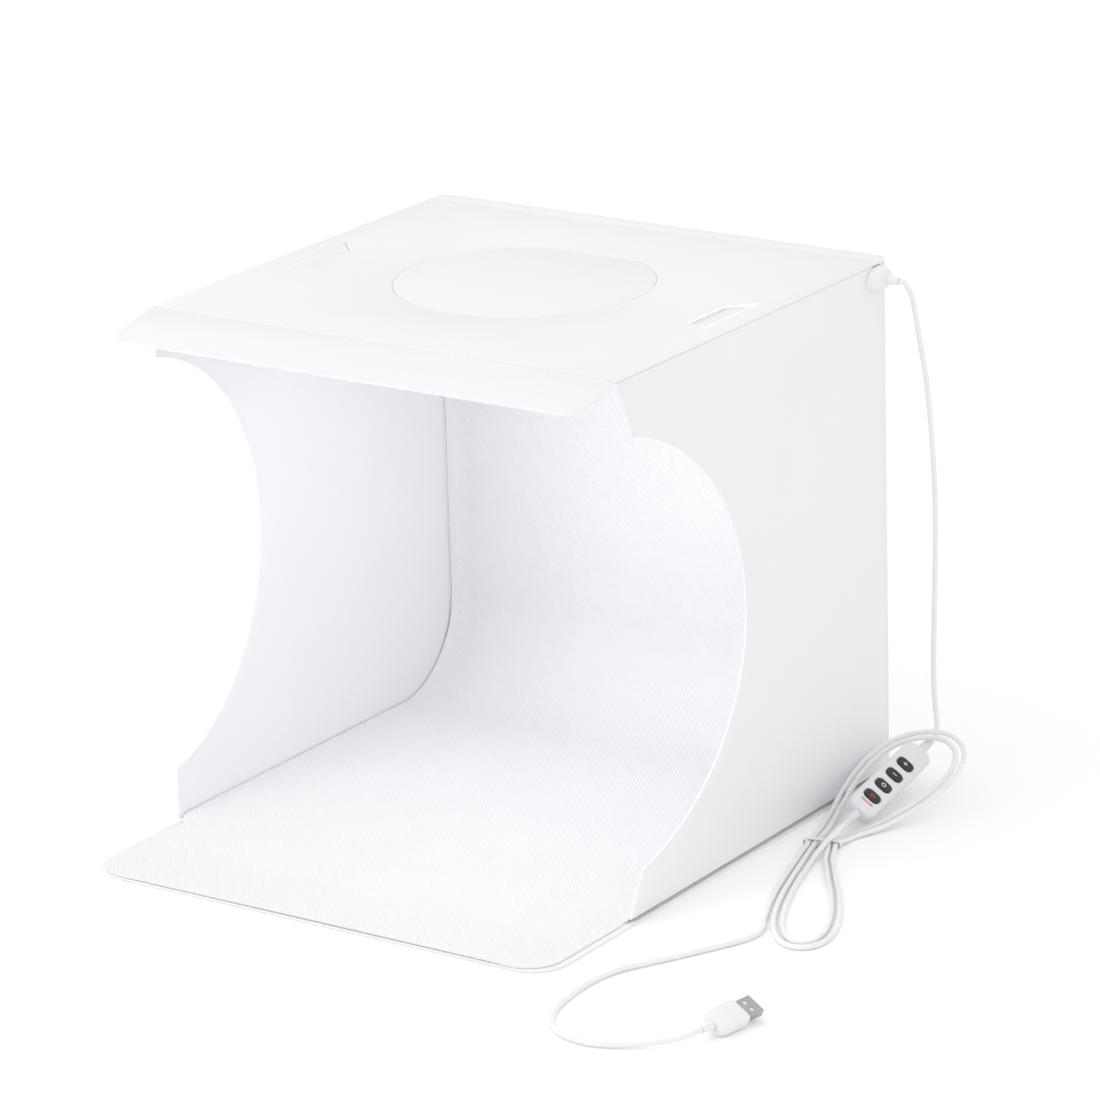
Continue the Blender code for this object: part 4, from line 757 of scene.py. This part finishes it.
def cord_path():
    """Centreline from the outlet through the controller, round the hank and on to the plug."""
    matrix, half_length = controller_matrix()
    end = half_length + GAP + RELIEF_LENGTH + GAP
    outlet_tip = matrix @ Vector((0, -end, 0))
    inlet_tip = matrix @ Vector((0, end, 0))
    low_step = (CONTROLLER_LOW - CONTROLLER_HIGH).normalized() * CORD_STRAIGHT
    drop_start = Vector((OUTLET_END_X + GAP, OUTLET_Y, OUTLET_Z))
    drop = through_points([drop_start, drop_start + ALONG_X * CORD_STRAIGHT, *DROP_ROUTE,
                           inlet_tip - low_step, inlet_tip], CORD_SPACING)
    inside = [inlet_tip.lerp(outlet_tip, share) for share in spaced(0, 1, 30)[1:-1]]
    first_step = round(HANK_START_TURN * HANK_POINTS_PER_TURN)
    last_step = round(HANK_TURNS * HANK_POINTS_PER_TURN)
    wound = [hank_point(step / HANK_POINTS_PER_TURN) for step in range(first_step, last_step + 1)]
    lead_in = [outlet_tip, outlet_tip + low_step, *[Vector(point) for point in LEAD_IN_POINTS]]
    leaving = (wound[-1] - wound[-2]).normalized()
    tail_start = wound[-1] + leaving * (CORD_STRAIGHT + GAP)
    heading = Matrix.Rotation(PLUG_TURN, 3, "Z") @ Vector((0, 1, 0))
    entry = PLUG_BACK - heading * GAP
    tail = [tail_start, tail_start + leaving * CORD_STRAIGHT, *at_level(TAIL_FLAT_ROUTE, TAIL_HEIGHT),
            *TAIL_RISING_ROUTE, entry - heading * CORD_STRAIGHT, entry]
    return [*drop, *inside, *lead_in, *wound, *through_points(tail, CORD_SPACING)]


def relief_profile():
    """Tapered strain relief with grooves, as (distance from its root, radius)."""
    root = RELIEF_ROOT_RADIUS
    tip = RELIEF_TIP_RADIUS
    profile = [(0, root - 0.0002), (0.0003, root)]
    pitch = RELIEF_LENGTH / (RELIEF_RIBS + 1)
    for rib in range(RELIEF_RIBS):
        start = pitch * (rib + RELIEF_FIRST_SHARE)
        for share, sink in RELIEF_GROOVE_PROFILE:
            distance = start + pitch * share
            profile.append((distance, mix(root, tip, distance / RELIEF_LENGTH) - RELIEF_GROOVE * sink))
    return profile + [(RELIEF_LENGTH - 0.0004, tip + 0.0001), (RELIEF_LENGTH, tip - 0.0002)]


def make_words(name, words, matrix, material):
    """Printed words as a thin mesh."""
    text = bpy.data.curves.new(name, "FONT")
    text.body = words
    text.size = 0.0023
    text.align_x = "CENTER"
    text.align_y = "CENTER"
    text.extrude = 0.00004
    text.offset = 0.00006
    draft = add_object(name, text)
    bpy.context.view_layer.update()
    mesh = bpy.data.meshes.new_from_object(draft.evaluated_get(bpy.context.evaluated_depsgraph_get()))
    bpy.data.objects.remove(draft)
    mesh.transform(matrix)
    mesh.materials.clear()
    mesh.materials.append(material)
    return add_object(name, mesh)


def add_bar(bm, half_x, half_y, rise):
    """Thin round-ended bar of a button's sign."""
    outline = rounded_rectangle(half_x, half_y, min(half_x, half_y) - ROUND_END_SPARE, 4)
    add_loft(bm, [[(x, y + rise, z) for x, y in outline] for z in (SIGN_BOTTOM, SIGN_TOP)])


def add_ring(bm, radius, half_stroke, start, sweep):
    """Thin ring, or an arc of one, of a button's sign."""
    inner, outer = [arc(radius + grow, start, sweep, 28) for grow in (-half_stroke, half_stroke)]
    loops = [[(*near, SIGN_BOTTOM), (*far, SIGN_BOTTOM), (*far, SIGN_TOP), (*near, SIGN_TOP)]
             for near, far in zip(inner, outer)]
    whole = sweep == 360
    add_loft(bm, loops[:-1] if whole else loops, closed=whole)


def make_sign(name, matrix):
    """Generic sign on a button: power, ring, minus or plus."""
    bm = bmesh.new()
    rings, bars = SIGNS[name]
    for ring in rings:
        add_ring(bm, *ring)
    for bar in bars:
        add_bar(bm, *bar)
    finish = RED if name == "power_button" else PALE
    return place_mesh(f"{name}_sign", bm, [finish], smooth=False, matrix=matrix)


def make_shells(matrix, half_length):
    """The controller's two shells, with a fine groove where they meet."""
    pieces = []
    for name, sign in (("controller_lower_shell", -1), ("controller_upper_shell", 1)):
        sections = []
        for across, up in arc(CONTROLLER_ROUND, 90, -90, 8):
            inset = CONTROLLER_ROUND - across
            level = CONTROLLER_HEIGHT / 2 - CONTROLLER_ROUND + up
            sections.append((inset, level, CONTROLLER_CORNER - inset / 2))
        sections += [(inset, level, CONTROLLER_CORNER) for inset, level in CONTROLLER_SEAM]
        loops = [at_level(rounded_rectangle(CONTROLLER_WIDTH / 2 - inset, half_length - inset, corner, 10),
                          sign * level) for inset, level, corner in sections]
        cover = loft(f"{name}_cover", loops, GREY, matrix=matrix)
        pieces.append(hand_over(cover, "box", "controller", name))
    return pieces


def button_loops(profile, y):
    """Loops round a button's place, from a profile of (spread, height above the shell)."""
    loops = []
    for spread, level in profile:
        half_sizes = (BUTTON_ACROSS / 2 + spread, BUTTON_ALONG / 2 + spread)
        outline = rounded_rectangle(*half_sizes, BUTTON_CORNER + spread)
        loops.append([(x, dy + y, CONTROLLER_HEIGHT / 2 + level) for x, dy in outline])
    return loops


def make_buttons(matrix):
    """Surrounds, caps and signs of the four buttons, and the words beside them."""
    places = [BUTTON_ROW_SHIFT + BUTTON_PITCH * (index - 1.5) for index in range(len(SIGNS))]
    bm = bmesh.new()
    for y in places:
        add_loft(bm, button_loops(SURROUND_PROFILE, y), closed=True)
    surrounds = place_mesh("button_surrounds", bm, [PALE], matrix=matrix)
    pieces = [hand_over(surrounds, "box", "controller")]
    for name, y in zip(SIGNS, places):
        cap = loft(f"{name}_cap", button_loops(CAP_PROFILE, y), BLACK, matrix=matrix)
        pieces.append(hand_over(cap, name, "buttons", name))
    words_place = (0, places[0] - WORDS_BELOW_BUTTONS, CONTROLLER_HEIGHT / 2 + WORDS_CLEARANCE)
    words = make_words("controller_words", "ON/OFF", matrix @ placed(words_place), RED)
    pieces.append(hand_over(words, "box", "controller"))
    for name, y in zip(SIGNS, places):
        top = matrix @ placed((0, y, CONTROLLER_HEIGHT / 2 + BUTTON_PROUD))
        pieces.append(hand_over(make_sign(name, top), name, "controller"))
    return pieces


def make_controller():
    """The dimmer controller: shells, buttons and ribbed reliefs."""
    matrix, half_length = controller_matrix()
    pieces = [*make_shells(matrix, half_length), *make_buttons(matrix)]
    for name, sign in (("controller_outlet_relief", -1), ("controller_inlet_relief", 1)):
        loops = [circle(radius, sign * (half_length + GAP + distance), RELIEF_SEGMENTS, "Y")
                 for distance, radius in relief_profile()]
        relief = loft(f"{name}_sleeve", loops, GREY, matrix=matrix)
        pieces.append(hand_over(relief, "box", "controller", name))
    return pieces


def make_tie():
    """Flat band round the hank's waist."""
    beside = Vector((HANK_HALF_SPAN.y, -HANK_HALF_SPAN.x)).normalized()
    reaches = [(hank_point(turn).xy - HANK_TIE).dot(beside) for turn in (0.5, 1, 1.5, 2)]
    half_x = (max(reaches) - min(reaches)) / 2 + CORD_RADIUS + TIE_SIDE_GAP
    half_z = CORD_RADIUS + GAP
    loops = []
    for spread, share in TIE_PROFILE:
        outline = rounded_rectangle(half_x + spread, half_z + spread, half_z + spread - ROUND_END_SPARE, 10)
        loops.append(across_y(outline, share * TIE_WIDTH))
    centre = HANK_TIE + beside * (max(reaches) + min(reaches)) / 2
    matrix = placed((centre.x, centre.y, hank_point(1).z), (math.atan2(beside.y, beside.x), "Z"))
    return hand_over(loft("hank_tie", loops, TIE, closed=True, matrix=matrix), "box", "moulding", "twist_tie")


def add_window_blocks(bm, half, low, high):
    """Square blocks at the places of the plug's two latch windows."""
    square = rounded_rectangle(half, half, PLUG_WINDOW_CORNER, 2)
    for side in (-1, 1):
        outline = [(side * PLUG_WINDOW_X + x, PLUG_WINDOW_Y + y) for x, y in square]
        add_loft(bm, (at_level(outline, low), at_level(outline, high)))


def make_plug():
    """Relief, grip and metal shell with latch windows; the insulator and contacts stay CAD."""
    matrix = placed(PLUG_BACK, (PLUG_TURN, "Z"), (PLUG_ROLL, "Y"))
    loops = [circle(radius, distance, RELIEF_SEGMENTS, "Y") for distance, radius in PLUG_NECK_PROFILE]
    relief = hand_over(loft("plug_neck", loops, WHITE, matrix=matrix), "box", "moulding", "plug_relief")
    half_x, half_z, corner = PLUG_GRIP_SIZE
    loops = [across_y(rounded_rectangle(half_x - inset, half_z - inset / 3, corner - inset / 4), level)
             for inset, level in PLUG_GRIP_PROFILE]
    grip = hand_over(loft("plug_grip", loops, WHITE, matrix=matrix), "box", "moulding", "plug_overmould")
    half_x, half_z, corner = PLUG_METAL_SIZE
    loops = [across_y(rounded_rectangle(half_x - inset, half_z - inset, corner - inset / 2, 4), level)
             for inset, level in PLUG_METAL_PROFILE]
    shell = loft("plug_metal_shell", loops, STEEL, closed=True)
    cutter = bmesh.new()
    add_window_blocks(cutter, *PLUG_WINDOW)
    cut(shell, place_mesh("latch window cutter", cutter, [STEEL]))
    pads = bmesh.new()
    pads.from_mesh(shell.data)
    metal_faces = set(pads.faces)
    add_window_blocks(pads, *PLUG_PAD)
    for face in set(pads.faces) - metal_faces:
        face.material_index = 1
    bmesh.ops.recalc_face_normals(pads, faces=pads.faces)
    pads.to_mesh(shell.data)
    pads.free()
    shell.data.materials.append(INSULATOR)
    shell.data.transform(matrix)
    shade(shell.data, 35.0)
    hand_over(shell, "box", "plug_metal", "plug_shell")
    inside = ("plug_insulator", *[f"plug_contact_{n}" for n in range(1, 5)])
    return [relief, grip, shell, *[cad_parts[name] for name in inside]]


def make_outlet():
    """Moulded outlet in the right side panel: collar, oval dome and neck."""
    profile = list(OUTLET_COLLAR)
    for rise, reach in arc(1, 0, 90, 16)[1:]:
        radius = OUTLET_NECK_RADIUS + OUTLET_DOME_RISE * rise
        profile.append((OUTLET_FACE_X + OUTLET_DOME_LENGTH * reach, radius, 1 + OUTLET_STRETCH * rise))
    root = OUTLET_FACE_X + OUTLET_DOME_LENGTH
    for share in spaced(0, 1, 16)[1:]:
        profile.append((mix(root, OUTLET_END_X, share), OUTLET_NECK_RADIUS - OUTLET_NECK_TAPER * share, 1))
    loops = []
    for level, radius, stretch in profile:
        ring = circle(radius, level, 40, "X")
        loops.append([(x, OUTLET_Y + y * stretch, OUTLET_Z + z) for x, y, z in ring])
    return hand_over(loft("outlet_boot", loops, WHITE), "box", "moulding", "cable_outlet")


def make_cords():
    """The free cord with what is on it, and the lamp's lead under the top."""
    path = cord_path()
    make_outlet()
    pieces = [*make_controller(), make_tie(), *make_plug(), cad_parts["controller_board"]]
    cord = hand_over(cord_curve("power_cord", path), "box", "cord", "drop_cord", "cord_hank", "tail_cord")
    lead_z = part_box("ring_lead")[0].z + CORD_RADIUS
    turn = placed((0, Y_MIDDLE, 0), (TERMINAL_ANGLE, "Z"))
    leave_x = TERMINAL_END_RADIUS + GAP
    leave = turn @ Vector((leave_x, 0, lead_z))
    onward = turn @ Vector((leave_x + CORD_STRAIGHT, 0, lead_z))
    join = Vector((INNER_LEAD_START_X, OUTLET_Y, OUTLET_Z))
    before_join = join - ALONG_X * (GAP + CORD_STRAIGHT)
    across = before_join - onward
    route = [onward + Vector([a * share for a, share in zip(across, row)]) for row in LEAD_ROUTE_SHARES]
    last = join + ALONG_X * INNER_LEAD_LENGTH
    path = through_points([leave, onward, *route, before_join, before_join + ALONG_X * INNER_LEAD_EARLY,
                           last - ALONG_X * CORD_STRAIGHT, last], LEAD_SPACING)
    lead = tube_mesh("lamp_lead", path)
    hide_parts("ring_lead", "inner_lead")
    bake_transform(lead)


# Box pieces

def side_bow(y, z):
    """How far the side panel stands out beyond the flat at a place."""
    height_share = 2 * z / BOX_HEIGHT - 1
    reach = (Y_CORNER - y) / BOW_PEAK_FROM_CREASE
    return SIDE_BOW * (1 - height_share ** 2) * reach * (BOW_EARLY_SHARE - (BOW_EARLY_SHARE - 1) * reach)


def side_rows():
    """Rows of the side panel as (z, front y): straight leaning ends and the round cut-out between them."""
    half_angle = math.acos((CUT_CENTRE_AHEAD + FRONT_LEAN) / CUT_RADIUS)
    rise = CUT_RADIUS * math.sin(half_angle)
    shares = spaced(0, 1, 8)
    rows = [(mix(BOTTOM_FLANGE_BOTTOM, BOX_HEIGHT / 2 - rise, share), Y_FRONT + FRONT_LEAN * share)
            for share in shares[:-1]]
    half_sweep = math.degrees(half_angle)
    rows += [(BOX_HEIGHT / 2 + up, Y_FRONT - CUT_CENTRE_AHEAD + behind)
             for behind, up in arc(CUT_RADIUS, -half_sweep, 2 * half_sweep, 84)]
    rows += [(mix(BOX_HEIGHT / 2 + rise, SIDE_TOP, share), Y_FRONT + FRONT_LEAN * (1 - share))
             for share in shares[1:]]
    return rows


def make_side(prefix, side):
    """Side panel with its round cut-out and its outward bow."""
    outer, inner = [], []
    for z, y_start in side_rows():
        line = spaced(y_start, Y_CORNER - GAP, 28)
        for grid, inset in ((outer, 0), (inner, SHEET)):
            grid.append([(side * (HALF_WIDTH + side_bow(y, z) - inset), y, z) for y in line])
    panel = thick_grid(f"{prefix}_side_sheet", outer, inner, [BENT_PANEL, CUT_EDGE_HIGHLIGHT])
    if side > 0:
        section = arc(NOTCH_RADIUS, 180, 180, 24)
        section += [(NOTCH_RADIUS, NOTCH_HEIGHT), (-NOTCH_RADIUS, NOTCH_HEIGHT)]
        loops = [[(HALF_WIDTH + x, OUTLET_Y + y, OUTLET_Z + z) for y, z in section] for x in NOTCH_REACH]
        cut(panel, loft("outlet notch cutter", loops, CUT_EDGE_HIGHLIGHT))
    round_edges(panel)
    return hand_over(panel, "box", "sheet", f"{prefix}_side_panel")


def back_section(inset):
    """The back panel's plan: round corners joined by a straight run, drawn in by an inset."""
    radius = CORNER_RADIUS - inset
    outline = rounded_rectangle(HALF_WIDTH - inset, radius, radius, CORNER_STEPS)
    return [(x, Y_CORNER + y) for x, y in outline[2 * CORNER_STEPS + 1::-1]]


def grown(outline, extra):
    """Push each edge of a counter-clockwise convex outline outwards by a distance."""
    corners = []
    for index, corner in enumerate(outline):
        here = Vector(corner)
        before = (here - Vector(outline[index - 1])).normalized()
        after = (Vector(outline[(index + 1) % len(outline)]) - here).normalized()
        push = Vector((before.y + after.y, -before.x - after.x))
        corners.append(tuple(here + push * extra / (1 + before.dot(after))))
    return corners


def tab_outline(side, extra, ease=0):
    """Lock tab of a side, from the box's middle line; extra widens it all round, ease shortens its root."""
    half = TAB_ROOT_LENGTH / 2
    root = TAB_ROOT_X
    tip = TAB_ROOT_X - TAB_WIDTH
    corners = ((root, ease - half), (root, half - ease),
               (tip, half - TAB_BACK_SLANT), (tip, TAB_FRONT_SLANT - half))
    return [(side * x, y) for x, y in grown(corners, extra)]


def disc_outline(extra):
    """The round flap in the top, about its middle: a circle closed by a straight crease at the back."""
    half_crease = math.degrees(math.asin(DISC_CREASE / 2 / DISC_RADIUS))
    return arc(DISC_RADIUS + extra, 90 + half_crease, 360 - 2 * half_crease, 168)


def make_top():
    """Top with its slots, round flap and visor."""
    y_back = Y_SPINE - GAP
    outline = ((HALF_WIDTH, Y_FRONT), (HALF_WIDTH, y_back), (-HALF_WIDTH, y_back), (-HALF_WIDTH, Y_FRONT))
    rims = [outline, [(x, y + Y_MIDDLE) for x, y in disc_outline(KERF)]]
    rims += [[(x, y + TAB_MIDDLE_Y) for x, y in tab_outline(side, KERF)] for side in (1, -1)]
    top = plate("top_sheet", "top", "top_panel", rims, BOX_HEIGHT, materials=[PANEL, CUT_EDGE_HIGHLIGHT, SLOT_EDGE_PAINTED_GLOW])
    # Slot edges round the lock tabs take the painted highlight and glow: the right slot all round, the left
    # one only at its rear end as a small painted glint.
    for face in top.data.polygons:
        x, y, _ = face.center
        along = (y - TAB_MIDDLE_Y) / (TAB_ROOT_LENGTH / 2 + KERF)
        across = (abs(x) - TAB_ROOT_X) / (TAB_WIDTH + KERF)
        lit_from = -1 if x > 0 else LEFT_SLOT_LIT_FROM
        if face.material_index == 1 and abs(across) < 1 and lit_from < along < 1:
            face.material_index = 2
    disc_back = math.sqrt(DISC_RADIUS ** 2 - (DISC_CREASE / 2) ** 2) - GAP
    outline = [(x, min(y, disc_back) + Y_MIDDLE) for x, y in disc_outline(0)]
    plate("round_flap", "top_disc_flap", "top_disc_flap", [outline], BOX_HEIGHT)
    hinge = placed((0, Y_FRONT, BOX_HEIGHT - SHEET - GAP), (VISOR_DROP, "X"))
    outline = flap_outline(HALF_WIDTH, VISOR_LENGTH, VISOR_CORNER_RADIUS, CORNER_STEPS)
    plate("visor_sheet", "visor", "visor", [outline], SHEET + GAP, hinge)


def make_tabs():
    """The two lock tabs, pressed a little into their slots."""
    for prefix, side in (("left", -1), ("right", 1)):
        root = placed((side * TAB_ROOT_X, TAB_MIDDLE_Y, BOX_HEIGHT), (-side * TAB_PRESS, "Y"))
        outline = [(x - side * TAB_ROOT_X, y) for x, y in tab_outline(side, 0, TAB_ROOT_EASE)]
        # The right tab gets painted shade on its face and a painted glow on its edges; the left one keeps the
        # panel finish and the cut edges' painted highlight.
        finish = [TAB_PANEL_PAINTED_SHADE, SLOT_EDGE_PAINTED_GLOW] if side > 0 else [PANEL, CUT_EDGE_HIGHLIGHT]
        tab = f"{prefix}_lock_tab"
        plate(f"{prefix}_tab_sheet", tab, tab, [outline], 0, root, finish)


def make_box():
    """Base, back, fold strip, sides, top, front flap and lock tabs."""
    half_depth = (Y_BACK - Y_FRONT) / 2
    outline = rounded_rectangle(HALF_WIDTH + BASE_MARGIN, half_depth, PANEL_CORNER_RADIUS, 6)
    plate("base_sheet", "box", "base_panel", [[(x, y + Y_MIDDLE) for x, y in outline]], SHEET)
    levels = spaced(SHEET + GAP, TOP_FLANGE_TOP, 12)
    outer, inner = [[at_level(back_section(inset), z) for z in levels] for inset in (0, SHEET)]
    back = round_edges(thick_grid("back_sheet", outer, inner, [PANEL, CUT_EDGE_HIGHLIGHT]))
    hand_over(back, "box", "sheet", "back_panel")
    corners = rounded_rectangle(HALF_WIDTH, Y_BACK - Y_SPINE, CORNER_RADIUS, CORNER_STEPS)
    corners = [(x, y + Y_SPINE) for x, y in corners if y > 0]
    outline = [(HALF_WIDTH, Y_SPINE), *corners, (-HALF_WIDTH, Y_SPINE)]
    plate("back_fold_strip", "box", "top_spine", [outline], BOX_HEIGHT)
    for prefix, side in (("left", -1), ("right", 1)):
        make_side(prefix, side)
    make_top()
    outline = flap_outline(HALF_WIDTH + BASE_MARGIN, FLAP_LENGTH, FLAP_CORNER_RADIUS, 16)
    crease = placed((0, Y_FRONT, SHEET + GAP))
    plate("front_flap_sheet", "front_flap", "front_flap", [outline], -GAP, crease)
    make_web()
    make_tabs()


def make_web():
    """Thin living hinge that bridges the crease of the top."""
    centre = Vector((0, Y_SPINE - GAP / 2, BOX_HEIGHT - WEB_DEPTH))
    corners = [(-1, -1), (1, -1), (1, 1), (-1, 1)]
    loops = [[(x * WEB_HALF_LENGTH, y, z * WEB_HALF_THICKNESS) for x, z in corners]
             for y in spaced(WEB_HALF_WIDTH, -WEB_HALF_WIDTH, 6)]
    web = loft("top_crease_web", loops, CUT_EDGE_HIGHLIGHT, smooth=False, matrix=placed(centre))
    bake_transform(web)


def smooth_share(value):
    """0 to 1 with eased ends."""
    value = min(1.0, max(0.0, value))
    return value * value * (3 - 2 * value)


def cloth_stations():
    """Places down the cloth's middle, from the top edge to the front tip, as (y, z, inward y, inward z)."""
    centre_y = CLOTH_BACK - SWEEP_RADIUS
    centre_z = CLOTH_BOTTOM + SWEEP_RADIUS
    stations = [(CLOTH_BACK, level, -1, 0) for level in spaced(CLOTH_TOP, centre_z, 60)[:-1]]
    for behind, down in arc(1, 0, 90, 30):
        stations.append((centre_y + SWEEP_RADIUS * behind, centre_z - SWEEP_RADIUS * down, -behind, down))
    stations += [(y, CLOTH_BOTTOM, 0, 1) for y in spaced(centre_y, Y_FRONT, 72)[1:]]
    ahead_list = spaced(0, CLOTH_FLAP_RUN, 51)[1:]
    ahead_list += [CLOTH_CORNER_START + reach for _, reach in arc(FLAP_CORNER_RADIUS, 0, 90, 16)]
    for ahead in ahead_list:
        fall = (1 + math.cos(math.pi * min(1, ahead / CLOTH_SETTLE))) / 2
        stations.append((Y_FRONT - ahead, mix(CLOTH_SETTLED_Z, CLOTH_BOTTOM, fall), 0, 1))
    return stations


def cloth_rows():
    """The cloth's stations, each with its run from the top edge before it and its half width after."""
    rows = []
    run = 0.0
    before_y, before_z = CLOTH_BACK, CLOTH_TOP
    for y, z, inward_y, inward_z in cloth_stations():
        run += math.hypot(y - before_y, z - before_z)
        before_y, before_z = y, z
        ahead = Y_FRONT - y
        low = smooth_share((CLOTH_BOTTOM + SWEEP_RADIUS + NARROWING_ABOVE_SWEEP - z) / NARROWING_RUN)
        folded = smooth_share(ahead / FOLD_RUN)
        half = mix(CLOTH_HALF_WIDTH, FLOOR_CLOTH_HALF_WIDTH, low)
        half += (FRONT_CLOTH_HALF_WIDTH - FLOOR_CLOTH_HALF_WIDTH) * folded
        half += max(0, side_bow(y, z)) * (1 - folded)
        half -= FOLD_NOTCH * math.exp(-((ahead - FOLD_NOTCH_AHEAD) / FOLD_NOTCH_SPREAD) ** 2)
        past = ahead - CLOTH_CORNER_START
        if past > 0:
            half -= FLAP_CORNER_RADIUS - math.sqrt(max(0, FLAP_CORNER_RADIUS ** 2 - past ** 2))
        rows.append((run, y, z, inward_y, inward_z, half))
    return rows


def cloth_line(row, lift):
    """Points across one row of the cloth, raised by a lift; the edges fall onto the flap."""
    run, y, z, inward_y, inward_z, half = row
    past_fold = smooth_share((Y_FRONT - y) / EDGE_DROP_RUN + 1)
    near_tip = smooth_share((Y_FRONT - y - FLAP_LENGTH) / EDGE_DROP_WIDTH + 1)
    line = []
    for x in spaced(-half, half, 64):
        near_edge = smooth_share((abs(x) - half) / EDGE_DROP_WIDTH + 1)
        drop = (z - RIM_Z) * past_fold * max(near_edge, near_tip)
        curl = CORNER_CURL * max(0, -inward_y) * smooth_share((abs(x) - half) / CORNER_CURL_WIDTH + 1)
        wave = CLOTH_WAVE * (1 + noise.noise(Vector((x * WAVES_ACROSS, run * WAVES_ALONG, WAVE_OFFSET))))
        edge = min(1, (half - abs(x)) / WAVE_EDGE_RUN + WAVE_EDGE_SHARE)
        raised = lift + wave * edge + curl
        line.append((x, y + inward_y * raised, z - drop + inward_z * raised))
    return line


def make_cloth():
    """One twill sheet: hung at the back, swept forward over the base and down onto the front flap."""
    rows = cloth_rows()
    lower, upper = [[cloth_line(row, lift) for row in rows] for lift in (0, CLOTH)]
    runs = [[(point[0], row[0], 0) for point in line] for row, line in zip(rows, lower)]
    cloth = thick_grid("backdrop_cloth", lower, upper, [FABRIC], runs, 60.0)
    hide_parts("backdrop", "backdrop_front")
    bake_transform(cloth)


def paint_nodes():
    """Materials for the CAD nodes that stay."""
    kept = (
        ("sheet", PANEL, [f"{side}_{end}_flange" for end in ("top", "bottom") for side in ("left", "right")]),
        ("hook", HOOK, ("left_hook_strip", "right_hook_strip", "left_hook_tape", "right_hook_tape")),
        ("loop", LOOP, ("left_loop_strip", "right_loop_strip", "left_loop_tape", "right_loop_tape")),
        ("foam", FOAM, ("ring_tape",)),
        ("lamp_board", LAMP_BOARD, ("ring_board",)),
        ("lamps", LAMP, ("ring_leds",)),
        ("diffuser", DIFFUSER, ("ring_diffuser",)),
        ("moulding", WHITE, ("ring_terminal", "lead_clip")),
        ("circuit", CIRCUIT, ("controller_board",)),
        ("insulator", INSULATOR, ("plug_insulator",)),
        ("contacts", GOLD, [f"plug_contact_{n}" for n in range(1, 5)]),
    )
    for slot, finish, names in kept:
        for name in names:
            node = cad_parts[name]
            node.data.materials.clear()
            node.data.materials.append(finish)


# Stage

def white_where_seen(tree):
    """1 where a camera, glossy or transmission ray looks, else 0."""
    rays = tree.nodes.new("ShaderNodeLightPath").outputs
    seen = rays["Is Camera Ray"]
    for kind in ("Is Glossy Ray", "Is Transmission Ray"):
        node = tree.nodes.new("ShaderNodeMath")
        node.operation = "MAXIMUM"
        tree.links.new(seen, node.inputs[0])
        tree.links.new(rays[kind], node.inputs[1])
        seen = node.outputs[0]
    return seen


def make_stage():
    """Pale floor that keeps the shadow, white surroundings, and soft lights."""
    recipe = Recipe("floor", (0.94, 0.94, 0.94), 0.9, Emission_Color=(1, 1, 1, 1))
    glow = recipe.math("MULTIPLY", white_where_seen(recipe.tree), FLOOR_GLOW)
    recipe.tree.links.new(glow, recipe.shader.inputs["Emission Strength"])
    loops = [circle(FLOOR_RADIUS, level, 96) for level in FLOOR_LEVELS]
    loft("floor", loops, recipe.material, smooth=False)
    world = bpy.data.worlds.new("surroundings")
    bpy.context.scene.world = world
    world.use_nodes = True
    tree = world.node_tree
    background = tree.nodes["Background"]
    background.inputs["Color"].default_value = (1, 1, 1, 1)
    strength = tree.nodes.new("ShaderNodeMapRange")
    strength.inputs["To Min"].default_value = WORLD_LIGHT
    strength.inputs["To Max"].default_value = 1.0
    tree.links.new(white_where_seen(tree), strength.inputs["Value"])
    tree.links.new(strength.outputs["Result"], background.inputs["Strength"])
    for name, place, aim, size, power in LIGHTS:
        light = add_object(name, bpy.data.lights.new(name, "AREA"))
        light.data.size = size
        light.data.energy = power
        light.location = place
        light.rotation_euler = (Vector(aim) - Vector(place)).to_track_quat("-Z", "Y").to_euler()
        light.visible_camera = False


make_camera()
make_cords()
make_cloth()
make_box()
paint_nodes()
make_stage()
bpy.context.scene.view_settings.view_transform = "Standard"
